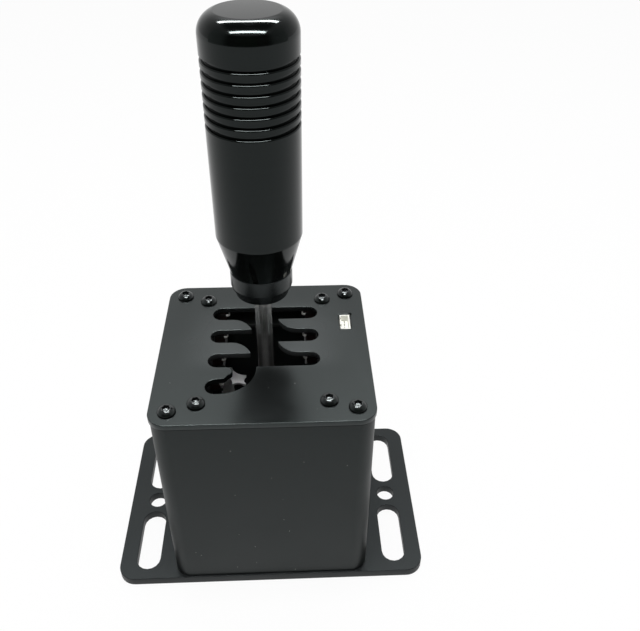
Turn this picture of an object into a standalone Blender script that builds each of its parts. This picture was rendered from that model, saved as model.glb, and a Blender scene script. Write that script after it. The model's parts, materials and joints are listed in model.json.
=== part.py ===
# An H-pattern gear shifter for a driving simulator: a lever on a two-axis cradle in a square housing.
# Metres, +Z up. The origin is under the middle of the base plate, and +Y is away from the driver.

import math

import bmesh
import bpy
from mathutils import Matrix, Vector

# Fits
GAP = 0.0003  # between pieces that touch
RUN_GAP = 0.0003  # around pins and shafts, on the radius
SIDE_PLAY = 0.0005  # beside pieces that turn against each other

# Base plate
BASE_WIDTH = 0.160
BASE_DEPTH = 0.102
BASE_THICK = 0.005
BASE_CORNER = 0.0088
MOUNT_SLOT_WIDTH = 0.0122
MOUNT_HOLE_DIAMETER = 0.0095
MOUNT_EDGE_X = 0.0146  # from the plate's side to the middle of its slots
MOUNT_EDGE_Y = 0.006  # from the plate's back or front to the end of a slot
MOUNT_BRIDGE = 0.00365  # between a slot and the hole beside it
EDGE_BREAK = 0.0003

# Housing and gate plate
HOUSING_INSET = 0.001  # from the base plate's front and back
HOUSING_CORNER = 0.008
HOUSING_WALL = 0.003
HOUSING_HEIGHT = 0.1089
PORT_EDGE_X = 0.008
PORT_EDGE_Y = 0.0075
PORT_WALL = 0.0032
GATE_THICK = 0.003
GATE_OVERHANG = 0.0005  # past the housing's sides, while front and back line up with the base plate

# Button-head and countersunk screws
SCREW_DIAMETER = 0.004
SCREW_HEAD_DIAMETER = 0.0082
SCREW_HEAD_HEIGHT = 0.0024
SCREW_BITE = 0.009
HEAD_RIM_SHARE = 0.2  # of a button head's height
PAN_FLAT_SHARE = 0.35  # of a pan head's diameter
PAN_RIM_SHARE = 0.6  # of a pan head's height
RECESS_DIAMETER = 0.0036
RECESS_HOLLOW = 0.0005
RECESS_DEPTH = 0.0014
SMALL_SCREW_DIAMETER = 0.003
SMALL_HEAD_DIAMETER = 0.0058
SMALL_HEAD_HEIGHT = 0.0019

# Gate: lanes run along X, and the lever rests in the second lane from the back
GATE_EDGE_X = 0.0234  # from the housing's side to a slot's end
GATE_EDGE_Y = 0.023  # from the housing's back or front to the first or last lane
GATE_SLOT_WIDTH = 0.0095
COLUMN_HALF_WIDTH = 0.0066
FIN_LENGTH = 0.0085
FIN_TIP = 0.0008
REVERSE_FINGER_LENGTH = 0.00725
REVERSE_FINGER_SHARE = 0.353  # of the plate left between two lanes
REVERSE_STEP = 0.0016
REVERSE_FLAT = 0.00185

# Lever and knob
ROD_DIAMETER = 0.008
ROD_SHOWN = 0.0279
ROD_IN_KNOB = 0.042
LOCK_NUT_DIAMETER = 0.0264
LOCK_NUT_HEIGHT = 0.0038
LOCK_NUT_CHAMFER = 0.0013
COLLAR_DIAMETER = 0.0287
COLLAR_HEIGHT = 0.0087
COLLAR_CHAMFER = 0.0003
KNOB_LENGTH = 0.0946
KNOB_TOP_DIAMETER = 0.0391
KNOB_FOOT_DIAMETER = 0.0387
KNOB_CROWN_RADIUS = 0.0085
KNOB_FOOT_ROUND = 0.001
CONE_HEIGHT = 0.0188
CONE_END_DIAMETER = 0.0286
GROOVE_COUNT = 7
GROOVE_PITCH = 0.00434
GROOVE_WIDTH = 0.0018
GROOVE_DEPTH = 0.0015
GROOVE_LIP = 0.0004
FIRST_GROOVE = 0.0164

# Pivot: the cradle turns about X in the bracket, and the lever turns about Y in the cradle
PIVOT_HEIGHT = 0.032
PIN_DIAMETER = 0.005
PIN_HEAD_DIAMETER = 0.009
PIN_HEAD_HEIGHT = 0.0025
CLIP_THICK = 0.0008
HUB_DIAMETER = 0.016
HUB_FLATS = 0.012
HUB_BELOW = 0.007
HUB_ABOVE = 0.020
HUB_FLOOR = 0.0022
SET_SCREW_RADIUS = 0.0015
CRADLE_INNER_X = 0.022
CRADLE_BAR = 0.005
CRADLE_HEIGHT = 0.010
WING_WIDTH = 0.012
WING_THICK = 0.003
BRACKET_SHEET = 0.004
BRACKET_FLANGE = 0.003
BRACKET_EAR_WIDTH = 0.016
BRACKET_SCREW_X = 0.0135
BRACKET_SCREW_EDGE = 0.0045

# Select springs
SPRING_EDGE = 0.006  # from the end of a wing to the middle of its spring
SPRING_MEAN_DIAMETER = 0.0088
SPRING_WIRE = 0.0011
SPRING_TURNS = 5
SPRING_POST_HEIGHT = 0.004
SPRING_POST_GAP = 0.0007
POINTS_PER_TURN = 9

# Switch board, switches and header
BOARD_DROP = 0.0069  # from the gate plate's underside to the board's top
BOARD_THICK = 0.0016
BOARD_MARGIN = 0.001
BOARD_SCREW_EDGE_X = 0.0204
BOARD_SCREW_EDGE_Y = 0.012
SPACER_DIAMETER = 0.0072
SWITCH_LENGTH = 0.005
SWITCH_HEIGHT = 0.0058
SWITCH_INSET = 0.001  # from a slot's end
SWITCH_BACK_GAP = 0.0011  # from a switch's back to a rod in the next lane
SWITCH_SETBACK = 0.0026  # from the rod's passing side to the switch's front
KNUCKLE_DIAMETER = 0.001
BLADE_THICK = 0.0004
BLADE_WIDTH = 0.001
BLADE_BELOW_TOP = 0.0006  # from the top of the switch to the middle of the blade
BLADE_LENGTH = 0.006
BLADE_CURL = 0.0015
CURL_END = 60  # degrees that the curl goes on past square to the blade
BLADE_CLEAR = 0.0004  # from the blade to the passing rod
LANE_CLEARANCE = 0.0009  # around the rod where it passes the board
HEADER_EDGE = 0.00955
HEADER_BEHIND_LANE = 0.00975
HEADER_WIDTH = 0.0051
HEADER_LENGTH = 0.0114
HEADER_WALL = 0.0007
HEADER_SOCKET_DEPTH = 0.0065
HEADER_BELOW_TOP = 0.0002
HEADER_WINDOW_GAP = 0.0004
WINDOW_RELIEF = 0.0008
CHIP_SIDE = 0.009
CHIP_THICK = 0.0014
CHIP_EDGE = 0.012

# Rear stay, a bent zinc strip whose shelf is cut narrow and hollowed
STAY_SHEET = 0.0015
STAY_WALL_GAP = 0.0008
STAY_BRACKET_GAP = 0.0019
STAY_X = -0.017
STAY_WIDTH = 0.022
STAY_FOOT = 0.0068
STAY_SHELF = 0.0125
STAY_SHELF_HEIGHT = 0.070
STAY_SHELF_WIDTH = 0.0088
STAY_SHELF_SIDE = 0.0073  # from the shelf's front to where its narrow part ends
STAY_HOLLOW = 0.0012
STAY_HOLLOW_RADIUS = 0.005
STAY_BACK_RADIUS = 0.0085
STAY_NOTCH_HEIGHT = 0.045  # of the strip that is left behind the shelf's right side
STAY_SCREW_X = 0.007

# Facets
ROUND_STEPS = 36
SCREW_STEPS = 12
PIN_STEPS = 20
ROD_STEPS = 24
HOLE_STEPS = 12
KNUCKLE_STEPS = 10
CORNER_STEPS = 8
SLOT_STEPS = 8
FIN_STEPS = 6
CURL_STEPS = 7
SMALL_STEPS = 3
HEAD_ANGLES = (0.5, 0.95, 1.3, math.pi / 2)

# Heights and places that follow from the sizes above
HOUSING_SIDE = BASE_DEPTH - 2 * HOUSING_INSET
HOUSING_HALF = HOUSING_SIDE / 2
MOUNT_SLOT_X = BASE_WIDTH / 2 - MOUNT_EDGE_X
MOUNT_SLOT_LENGTH = BASE_DEPTH / 2 - MOUNT_EDGE_Y - MOUNT_HOLE_DIAMETER / 2 - MOUNT_BRIDGE
MOUNT_SLOT_Y = BASE_DEPTH / 2 - MOUNT_EDGE_Y - MOUNT_SLOT_LENGTH / 2
PORT_X = HOUSING_HALF - PORT_EDGE_X
PORT_Y = HOUSING_HALF - PORT_EDGE_Y
BOARD_SCREW_X = HOUSING_HALF - BOARD_SCREW_EDGE_X
BOARD_SCREW_Y = HOUSING_HALF - BOARD_SCREW_EDGE_Y
GATE_REACH = HOUSING_HALF - GATE_EDGE_X
LANE_PITCH = (HOUSING_HALF - GATE_EDGE_Y) / 1.5
REST_LANE_Y = LANE_PITCH / 2
HOUSING_BOTTOM = BASE_THICK + GAP
HOUSING_TOP = HOUSING_BOTTOM + HOUSING_HEIGHT
GATE_BOTTOM = HOUSING_TOP + GAP
GATE_TOP = GATE_BOTTOM + GATE_THICK
GATE_MIDDLE = (GATE_BOTTOM + GATE_TOP) / 2
SLOT_HALF = GATE_SLOT_WIDTH / 2
SLOT_END_X = GATE_REACH - SLOT_HALF
LANES = [REST_LANE_Y + LANE_PITCH * step for step in (1, 0, -1, -2)]
PIVOT = Vector((0, REST_LANE_Y, PIVOT_HEIGHT))
ROD_RADIUS = ROD_DIAMETER / 2
SELECT_ANGLE = math.atan(LANE_PITCH / (GATE_MIDDLE - PIVOT_HEIGHT))
BOARD_TOP = GATE_BOTTOM - BOARD_DROP
BOARD_BOTTOM = BOARD_TOP - BOARD_THICK
SWITCH_BOTTOM = BOARD_TOP + GAP
BLADE_HEIGHT = SWITCH_BOTTOM + SWITCH_HEIGHT - BLADE_BELOW_TOP
SCREW_HOLE_RADIUS = SCREW_DIAMETER / 2 + RUN_GAP
PIN_RADIUS = PIN_DIAMETER / 2
PIN_HOLE_RADIUS = PIN_RADIUS + RUN_GAP
STAY_Y = HOUSING_HALF - HOUSING_WALL - STAY_WALL_GAP - STAY_FOOT - STAY_SHEET
WING_REACH = STAY_Y - STAY_BRACKET_GAP - REST_LANE_Y
BRACKET_SCREW_Y = WING_REACH - BRACKET_SCREW_EDGE
SPRING_Y = WING_REACH - SPRING_EDGE
SWITCH_OUTER_X = GATE_REACH - SWITCH_INSET
HEADER_X = HOUSING_HALF - HEADER_EDGE
HEADER_Y = REST_LANE_Y + HEADER_BEHIND_LANE
CHIP_X = CHIP_EDGE - HOUSING_HALF
REVERSE_FINGER_REACH = SLOT_END_X - REVERSE_FINGER_LENGTH
REVERSE_FINGER_ROUND = (LANE_PITCH - GATE_SLOT_WIDTH) * REVERSE_FINGER_SHARE
REVERSE_SWEEP_RADIUS = LANE_PITCH - REVERSE_STEP
REVERSE_FRONT_X = SLOT_END_X - REVERSE_FLAT
CORNERS = [(sx, sy) for sy in (1, -1) for sx in (-1, 1)]

parts = None
cutters = None


def start():
    global parts, cutters
    for old in list(bpy.data.objects):
        bpy.data.objects.remove(old, do_unlink=True)
    parts = bpy.data.collections.new("gear_shifter")
    cutters = bpy.data.collections.new("cutters")
    cutters.hide_render = True
    bpy.context.scene.collection.children.link(parts)
    bpy.context.scene.collection.children.link(cutters)


def finish(name, colour, roughness, metallic):
    material = bpy.data.materials.new(name)
    material.use_nodes = True
    shader = material.node_tree.nodes["Principled BSDF"]
    shader.inputs["Base Color"].default_value = (*colour, 1)
    shader.inputs["Roughness"].default_value = roughness
    shader.inputs["Metallic"].default_value = metallic
    return material


# Outlines, as lists of (x, y)

def arc(centre, radius, start_deg, end_deg, steps):
    angles = [math.radians(start_deg + (end_deg - start_deg) * i / steps) for i in range(steps + 1)]
    return [(centre[0] + radius * math.cos(a), centre[1] + radius * math.sin(a)) for a in angles]


def circle(centre, radius, steps):
    return arc(centre, radius, 0, 360, steps)[:-1]


def rounded_rectangle(centre, width, depth, radius, steps=CORNER_STEPS):
    points = []
    for quarter, (sx, sy) in enumerate([(1, 1), (-1, 1), (-1, -1), (1, -1)]):
        middle = (centre[0] + sx * (width / 2 - radius), centre[1] + sy * (depth / 2 - radius))
        points += arc(middle, radius, 90 * quarter, 90 * quarter + 90, steps)
    return points


def stadium(centre, width, length, steps=SLOT_STEPS):
    # A slot with round ends, long along Y.
    x, y = centre
    offset = (length - width) / 2
    back = arc((x, y + offset), width / 2, 0, 180, steps)
    return back + arc((x, y - offset), width / 2, 180, 360, steps)


def notched_square(half, notch_x, notch_y, fillet):
    # A square whose four corners are stepped in, as round the screw ports of the housing.
    points = []
    for sx, sy in [(1, 1), (-1, 1), (-1, -1), (1, -1)]:
        inner = (sx * (notch_x + fillet), sy * (notch_y + fillet))
        first = 180 if sx > 0 else 0
        last = 270 if sy > 0 else 90
        turn = last - first if abs(last - first) == 90 else last - first - math.copysign(360, last - first)
        inside = arc(inner, fillet, first, first + turn, SMALL_STEPS)
        corner = [(sx * half, sy * notch_y), *reversed(inside), (sx * notch_x, sy * half)]
        points += corner if sx * sy > 0 else corner[::-1]
    return points


def gate_outline():
    # One closed line round the neutral column and all seven slots, anticlockwise from the back right.
    points = []
    for i, lane in enumerate(LANES[:3]):
        points += arc((-SLOT_END_X, lane), SLOT_HALF, 90, 270, SLOT_STEPS)
        if i < 2:
            foot = LANES[i + 1] + SLOT_HALF
            rise = lane - SLOT_HALF - foot - FIN_TIP
            for step in range(FIN_STEPS + 1):
                t = math.pi / 2 * step / FIN_STEPS
                x = -COLUMN_HALF_WIDTH - FIN_LENGTH * (1 - math.sin(t))
                points.append((x, foot + FIN_TIP + rise * math.cos(t)))
            points.append((-COLUMN_HALF_WIDTH, foot))
    points += reverse_outline()
    for i in (2, 1, 0):
        points += arc((SLOT_END_X, LANES[i]), SLOT_HALF, -90, 90, SLOT_STEPS)
        if i:
            head = LANES[i - 1] - SLOT_HALF
            drop = head - FIN_TIP - (LANES[i] + SLOT_HALF)
            for step in range(FIN_STEPS + 1):
                t = math.pi / 2 * step / FIN_STEPS
                x = COLUMN_HALF_WIDTH + FIN_LENGTH * (1 - math.sin(t))
                points.append((x, head - FIN_TIP - drop * math.cos(t)))
            points.append((COLUMN_HALF_WIDTH, head))
    return points


def reverse_outline():
    # The short finger in front of the third lane, the reverse slot, and the sweep that leads into it.
    front = LANES[2] - SLOT_HALF
    lane = LANES[3]
    r = REVERSE_FINGER_ROUND
    tip = arc((-REVERSE_FINGER_REACH - r, front - r), r, 90, -75, FIN_STEPS)
    end = (-SLOT_END_X, lane + SLOT_HALF)
    bend = ((tip[-1][0] + 2 * end[0]) / 3 + r, end[1])
    hollow = [bezier(tip[-1], bend, end, t / 4) for t in (1, 2, 3)]
    slot = arc((-SLOT_END_X, lane), SLOT_HALF, 90, 270, SLOT_STEPS)
    middle = (-REVERSE_FRONT_X, lane - SLOT_HALF + REVERSE_SWEEP_RADIUS)
    sweep = arc(middle, REVERSE_SWEEP_RADIUS, -90, 0, SLOT_STEPS)
    return tip + hollow + slot + sweep + [(sweep[-1][0], front)]


def bezier(a, b, c, t):
    return tuple((1 - t) ** 2 * p + 2 * t * (1 - t) * q + t * t * s for p, q, s in zip(a, b, c))


def lane_y(lane, height):
    # Where the rod's middle passes at this height when the lever stands in a lane.
    share = (height - PIVOT_HEIGHT) / (GATE_MIDDLE - PIVOT_HEIGHT)
    return REST_LANE_Y + (lane - REST_LANE_Y) * share


def rod_half_width():
    return ROD_RADIUS / math.cos(SELECT_ANGLE)


def board_opening():
    # Square-ended fingers that let the rod pass the board in every lane.
    half = rod_half_width() + LANE_CLEARANCE
    reach = GATE_REACH * (BOARD_TOP - PIVOT_HEIGHT) / (GATE_TOP - PIVOT_HEIGHT) + LANE_CLEARANCE
    low = [lane_y(lane, BOARD_TOP if lane < REST_LANE_Y else BOARD_BOTTOM) - half for lane in LANES]
    high = [lane_y(lane, BOARD_BOTTOM if lane < REST_LANE_Y else BOARD_TOP) + half for lane in LANES]
    column = SWITCH_OUTER_X - SWITCH_LENGTH - BOARD_MARGIN
    points = []
    for i in range(4):
        points += [(-column, high[i])] if i else []
        points += [(-reach, high[i]), (-reach, low[i])]
        points += [(-column, low[i])] if i < 3 else []
    points += [(0, low[3]), (column, low[2])]
    for i in (2, 1, 0):
        points += [(column, low[i])] if i < 2 else []
        points += [(reach, low[i]), (reach, high[i])]
        points += [(column, high[i])] if i else []
    return points


# Solids

def add_part(name, mesh, material):
    mesh.name = name
    mesh.materials.clear()
    mesh.materials.append(material)
    piece = bpy.data.objects.new(name, mesh)
    parts.objects.link(piece)
    return piece


def mesh_of(curve):
    # A curve's evaluated shape as a mesh with its caps welded on.
    guide = bpy.data.objects.new(curve.name, curve)
    cutters.objects.link(guide)
    bpy.context.view_layer.update()
    graph = bpy.context.evaluated_depsgraph_get()
    mesh = bpy.data.meshes.new_from_object(guide.evaluated_get(graph))
    bpy.data.objects.remove(guide, do_unlink=True)
    weld = bmesh.new()
    weld.from_mesh(mesh)
    bmesh.ops.remove_doubles(weld, verts=weld.verts, dist=1e-6)
    bmesh.ops.recalc_face_normals(weld, faces=weld.faces)
    weld.to_mesh(mesh)
    weld.free()
    return mesh


def plate_mesh(name, outlines, low, high, chamfer=0):
    # The first outline is the edge, and the others are holes. The chamfer stays inside the outlines.
    curve = bpy.data.curves.new(name, "CURVE")
    curve.dimensions = "2D"
    curve.fill_mode = "BOTH"
    curve.extrude = (high - low) / 2 - chamfer
    curve.bevel_depth = chamfer
    curve.bevel_resolution = 0
    curve.offset = -chamfer
    for outline in outlines:
        spline = curve.splines.new("POLY")
        spline.points.add(len(outline) - 1)
        for point, (x, y) in zip(spline.points, outline):
            point.co = (x, y, 0, 1)
        spline.use_cyclic_u = True
    mesh = mesh_of(curve)
    mesh.transform(Matrix.Translation((0, 0, (low + high) / 2)))
    return mesh


def plate(name, outlines, low, high, material, chamfer=0):
    return add_part(name, plate_mesh(name, outlines, low, high, chamfer), material)


def box_mesh(name, low, high):
    mesh = bpy.data.meshes.new(name)
    shape = bmesh.new()
    size = Vector(high) - Vector(low)
    middle = (Vector(high) + Vector(low)) / 2
    bmesh.ops.create_cube(shape, size=1, matrix=Matrix.Translation(middle) @ Matrix.Diagonal((*size, 1)))
    shape.to_mesh(mesh)
    shape.free()
    return mesh


def box(name, low, high, material):
    return add_part(name, box_mesh(name, low, high), material)


def cylinder_mesh(name, radius, start_point, end_point, steps=PIN_STEPS):
    first = Vector(start_point)
    along = Vector(end_point) - first
    mesh = bpy.data.meshes.new(name)
    shape = bmesh.new()
    turn = Vector((0, 0, 1)).rotation_difference(along).to_matrix().to_4x4()
    place = Matrix.Translation(first + along / 2) @ turn
    bmesh.ops.create_cone(
        shape, cap_ends=True, segments=steps, radius1=radius, radius2=radius,
        depth=along.length, matrix=place,
    )
    shape.to_mesh(mesh)
    shape.free()
    return mesh


def turned_mesh(name, profile, closed):
    mesh = bpy.data.meshes.new(name)
    count = len(profile)
    edges = [(i, i + 1) for i in range(count - 1)]
    if closed:
        edges.append((count - 1, 0))
    mesh.from_pydata([(r, 0, z) for r, z in profile], edges, [])
    return mesh


def turned(name, profile, material, steps, closed=False):
    # The profile is (radius, height), from the top down its outer side.
    piece = add_part(name, turned_mesh(name, profile, closed), material)
    add_screw(piece, steps)
    return piece


def add_screw(piece, steps):
    screw = piece.modifiers.new("Turn", "SCREW")
    screw.steps = steps
    screw.render_steps = steps
    screw.use_merge_vertices = True
    screw.merge_threshold = 0.00001
    screw.use_smooth_shade = True


def attach(piece, empty):
    # Hang a piece that was made in place from the empty on its joint's axis.
    piece.parent = empty
    piece.location -= empty.matrix_world.translation


def shape_with(piece, mesh, operation):
    cutter = bpy.data.objects.new(f"{piece.name}_{operation.lower()}", mesh)
    cutter.hide_render = True
    cutter.display_type = "WIRE"
    cutters.objects.link(cutter)
    cutter.parent = piece
    modifier = piece.modifiers.new(operation.capitalize(), "BOOLEAN")
    modifier.operation = operation
    modifier.object = cutter
    return cutter


def cut(piece, mesh):
    return shape_with(piece, mesh, "DIFFERENCE")


def join(piece, mesh):
    return shape_with(piece, mesh, "UNION")


def bevel(piece, width, segments=1):
    modifier = piece.modifiers.new("Edge", "BEVEL")
    modifier.width = width
    modifier.segments = segments
    modifier.limit_method = "ANGLE"
    modifier.angle_limit = math.radians(50)


def joint_empty(name, place, parent=None):
    empty = bpy.data.objects.new(name, None)
    empty.empty_display_size = 0.01
    parts.objects.link(empty)
    empty.parent = parent
    empty.location = place if parent is None else Vector(place) - parent.matrix_world.translation
    bpy.context.view_layer.update()
    return empty


# The housing and what stands on it

def make_base_plate(black):
    holes = [rounded_rectangle((0, 0), BASE_WIDTH, BASE_DEPTH, BASE_CORNER)]
    for sx, sy in CORNERS:
        middle = (sx * MOUNT_SLOT_X, sy * MOUNT_SLOT_Y)
        holes.append(stadium(middle, MOUNT_SLOT_WIDTH, MOUNT_SLOT_LENGTH))
        holes.append(circle(bracket_screw_place(sx, sy), SCREW_HOLE_RADIUS, HOLE_STEPS))
    for sx in (-1, 1):
        holes.append(circle((sx * MOUNT_SLOT_X, 0), MOUNT_HOLE_DIAMETER / 2, PIN_STEPS))
        holes.append(circle(stay_screw_place(sx), SMALL_SCREW_DIAMETER / 2 + RUN_GAP, HOLE_STEPS))
    base = plate("base_plate", holes, 0, BASE_THICK, black, EDGE_BREAK)
    for sx, sy in CORNERS:
        mesh = turned_mesh("countersink", countersink_profile(), False)
        cutter = cut(base, mesh)
        cutter.location = (sx * PORT_X, sy * PORT_Y, 0)
        add_screw(cutter, SCREW_STEPS)


def countersunk_profile(length):
    # A flat-head screw that points up, from its tip down, with its head just inside the plate's underside.
    shank = SCREW_DIAMETER / 2
    head = SCREW_HEAD_DIAMETER / 2
    return [(0, length), (shank, length), (shank, GAP + head - shank), (head, GAP), (0, GAP)]


def countersink_profile():
    # The hole for that screw: the same cone, moved down and out by its clearance, through the whole plate.
    head = SCREW_HEAD_DIAMETER / 2 + 2 * GAP + 1.5 * RUN_GAP
    shank = SCREW_HOLE_RADIUS
    top = BASE_THICK + GAP
    return [(0, top), (shank, top), (shank, head - shank - GAP), (head, -GAP), (0, -GAP)]


def make_housing(black):
    half = HOUSING_HALF - HOUSING_WALL
    notch = SCREW_HOLE_RADIUS + PORT_WALL
    outlines = [
        rounded_rectangle((0, 0), HOUSING_SIDE, HOUSING_SIDE, HOUSING_CORNER),
        notched_square(half, PORT_X - notch, PORT_Y - notch, HOUSING_WALL),
    ]
    outlines += [circle((sx * PORT_X, sy * PORT_Y), SCREW_HOLE_RADIUS, SCREW_STEPS) for sx, sy in CORNERS]
    plate("housing", outlines, HOUSING_BOTTOM, HOUSING_TOP, black, EDGE_BREAK)


def make_gate_plate(black):
    width, corner = HOUSING_SIDE + 2 * GATE_OVERHANG, HOUSING_CORNER + GATE_OVERHANG
    outlines = [rounded_rectangle((0, 0), width, BASE_DEPTH, corner), gate_outline()]
    for sx, sy in CORNERS:
        outlines.append(circle((sx * PORT_X, sy * PORT_Y), SCREW_HOLE_RADIUS, SCREW_STEPS))
        outlines.append(circle((sx * BOARD_SCREW_X, sy * BOARD_SCREW_Y), SCREW_HOLE_RADIUS, SCREW_STEPS))
    outlines.append(header_window())
    plate("gate_plate", outlines, GATE_BOTTOM, GATE_TOP, black, EDGE_BREAK)


def header_window():
    # A close rectangle round the header, with a drilled relief at its back right corner.
    x = HEADER_WIDTH / 2 + HEADER_WINDOW_GAP
    y = HEADER_LENGTH / 2 + HEADER_WINDOW_GAP
    left, right, front, back = HEADER_X - x, HEADER_X + x, HEADER_Y - y, HEADER_Y + y
    relief = arc((right, back), WINDOW_RELIEF, -90, 180, SLOT_STEPS)
    return [(left, back), (left, front), (right, front), *relief]


def button_head(name, place, length, material):
    # A domed screw head on the gate plate with its shank below, from the top down.
    seat = GATE_TOP + GAP
    head = SCREW_HEAD_DIAMETER / 2
    shank = SCREW_DIAMETER / 2
    rim = seat + SCREW_HEAD_HEIGHT * HEAD_RIM_SHARE
    dome = SCREW_HEAD_HEIGHT * (1 - HEAD_RIM_SHARE)
    profile = [(0, seat + SCREW_HEAD_HEIGHT)]
    profile += [(head * math.sin(a), rim + dome * math.cos(a)) for a in HEAD_ANGLES]
    profile += [(head, seat), (shank, seat), (shank, seat - length), (0, seat - length)]
    screw = turned(name, profile, material, SCREW_STEPS)
    screw.location = (*place, 0)
    top = seat + SCREW_HEAD_HEIGHT
    cut(screw, plate_mesh("recess", [six_lobe()], top - RECESS_DEPTH, top + GAP))


def six_lobe():
    # The outline of a screw's drive, lobe tips and hollows in turn.
    radii = [RECESS_DIAMETER / 2, RECESS_DIAMETER / 2 - RECESS_HOLLOW] * 6
    angles = [math.radians(30 * i) for i in range(12)]
    return [(r * math.cos(a), r * math.sin(a)) for r, a in zip(radii, angles)]


def make_screws(black, zinc):
    cover_length = GATE_THICK + SCREW_BITE
    board_length = GATE_THICK + BOARD_DROP
    for i, (sx, sy) in enumerate(CORNERS, 1):
        button_head(f"cover_screw_{i}", (sx * PORT_X, sy * PORT_Y), cover_length, black)
        button_head(f"board_screw_{i}", (sx * BOARD_SCREW_X, sy * BOARD_SCREW_Y), board_length, black)
        profile = countersunk_profile(BASE_THICK + SCREW_BITE)
        base_screw = turned(f"base_screw_{i}", profile, zinc, SCREW_STEPS)
        base_screw.location = (sx * PORT_X, sy * PORT_Y, 0)
        cut(base_screw, plate_mesh("recess", [six_lobe()], 0, GAP + RECESS_DEPTH))


def pan_head(name, place, seat, head, height, shank, length, material):
    profile = [(0, seat + height), (head * PAN_FLAT_SHARE, seat + height)]
    profile += [(head / 2, seat + height * PAN_RIM_SHARE), (head / 2, seat)]
    profile += [(shank / 2, seat), (shank / 2, seat - length), (0, seat - length)]
    screw = turned(name, profile, material, SCREW_STEPS)
    screw.location = (*place, 0)


# Switch board

def make_board(green, spacer_finish, chip_finish):
    half = HOUSING_HALF - HOUSING_WALL - BOARD_MARGIN
    notch = SCREW_HOLE_RADIUS + PORT_WALL + BOARD_MARGIN
    outlines = [
        notched_square(half, PORT_X - notch, PORT_Y - notch, HOUSING_WALL - BOARD_MARGIN),
        board_opening(),
    ]
    for sx, sy in CORNERS:
        outlines.append(circle((sx * BOARD_SCREW_X, sy * BOARD_SCREW_Y), SCREW_HOLE_RADIUS, HOLE_STEPS))
    plate("switch_board", outlines, BOARD_BOTTOM, BOARD_TOP, green)
    for i, (sx, sy) in enumerate(CORNERS, 1):
        middle = (sx * BOARD_SCREW_X, sy * BOARD_SCREW_Y)
        outer = circle(middle, SPACER_DIAMETER / 2, HOLE_STEPS)
        inner = circle(middle, SCREW_HOLE_RADIUS, HOLE_STEPS)
        plate(f"board_spacer_{i}", [outer, inner], BOARD_TOP + GAP, GATE_BOTTOM - GAP, spacer_finish)
    chip = rounded_rectangle((CHIP_X, 0), CHIP_SIDE, CHIP_SIDE, BOARD_MARGIN / 2, SMALL_STEPS)
    plate("controller_chip", [chip], BOARD_TOP + GAP, BOARD_TOP + GAP + CHIP_THICK, chip_finish)


def make_header(white):
    top = GATE_TOP - HEADER_BELOW_TOP
    half = Vector((HEADER_WIDTH / 2, HEADER_LENGTH / 2, 0))
    middle = Vector((HEADER_X, HEADER_Y, 0))
    wall = Vector((HEADER_WALL, HEADER_WALL, 0))
    up = Vector((0, 0, 1))
    header = box("header_socket", middle - half + up * (BOARD_TOP + GAP), middle + half + up * top, white)
    floor = up * (top - HEADER_SOCKET_DEPTH)
    cut(header, box_mesh("socket", middle - half + wall + floor, middle + half - wall + up * (top + GAP)))
    for side in (-1, 1):
        key = Vector((0, side * HEADER_LENGTH / 4, 0))
        low = middle + key + Vector((-HEADER_WIDTH, -HEADER_WALL, 0)) + floor
        high = middle + key + Vector((-HEADER_WIDTH / 4, HEADER_WALL, 0)) + up * (top + GAP)
        cut(header, box_mesh("key_slot", low, high))


def switch_front(lane):
    # The switch's front face stands back from the rod's passing side, at the blade's edge nearest to the rod.
    height = BLADE_HEIGHT + (BLADE_WIDTH / 2 if lane > REST_LANE_Y else -BLADE_WIDTH / 2)
    return lane_y(lane, height) + rod_half_width() + SWITCH_SETBACK


def switch_depth():
    # What two neighbouring lanes leave for a switch at the height of the switches.
    pitch = lane_y(LANES[0], BLADE_HEIGHT) - lane_y(LANES[1], BLADE_HEIGHT)
    return pitch - 2 * rod_half_width() - SWITCH_SETBACK - SWITCH_BACK_GAP


def make_switch(side, number, lane, case_finish, blade_finish):
    label = f"{'left' if side < 0 else 'right'}_{number}"
    front = switch_front(lane)
    inner, outer = sorted((side * (SWITCH_OUTER_X - SWITCH_LENGTH), side * SWITCH_OUTER_X))
    low = (inner, front, SWITCH_BOTTOM)
    high = (outer, front + switch_depth(), SWITCH_BOTTOM + SWITCH_HEIGHT)
    case = box(f"switch_{label}", low, high, case_finish)
    bevel(case, EDGE_BREAK)
    knuckle = KNUCKLE_DIAMETER / 2
    hinge = Vector((side * (SWITCH_OUTER_X - 2 * knuckle), front - knuckle - GAP, BLADE_HEIGHT))
    outline = blade_outline(side)
    half = BLADE_WIDTH / 2
    blade = plate(f"switch_lever_{label}", [outline], -half, half, blade_finish)
    blade.location = hinge
    join(blade, cylinder_mesh("knuckle", knuckle, (0, 0, -half), (0, 0, half), KNUCKLE_STEPS))


def blade_outline(side):
    # A thin strip from the hinge, leaning into the lane, with its end curled back.
    reach = BLADE_LENGTH - BLADE_CURL
    lean = SWITCH_SETBACK - KNUCKLE_DIAMETER / 2 - GAP - BLADE_CLEAR
    half = BLADE_THICK / 2
    middle = (reach, BLADE_CURL - lean)
    curl = arc(middle, BLADE_CURL, -90, CURL_END, CURL_STEPS)
    inside = arc(middle, BLADE_CURL - BLADE_THICK, CURL_END, -90, CURL_STEPS)
    points = [(0, -half), *curl, *inside, (0, half)]
    turned_in = [(-side * x, y) for x, y in points]
    return turned_in if side < 0 else turned_in[::-1]


def make_switches(case_finish, blade_finish):
    for number, lane in enumerate(LANES, 1):
        make_switch(-1, number, lane, case_finish, blade_finish)
    for number, lane in enumerate(LANES[:3], 1):
        make_switch(1, number, lane, case_finish, blade_finish)


# Pivot bracket, cradle and springs

def bracket_screw_place(sx, sy):
    return (sx * BRACKET_SCREW_X, REST_LANE_Y + sy * BRACKET_SCREW_Y)


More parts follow.
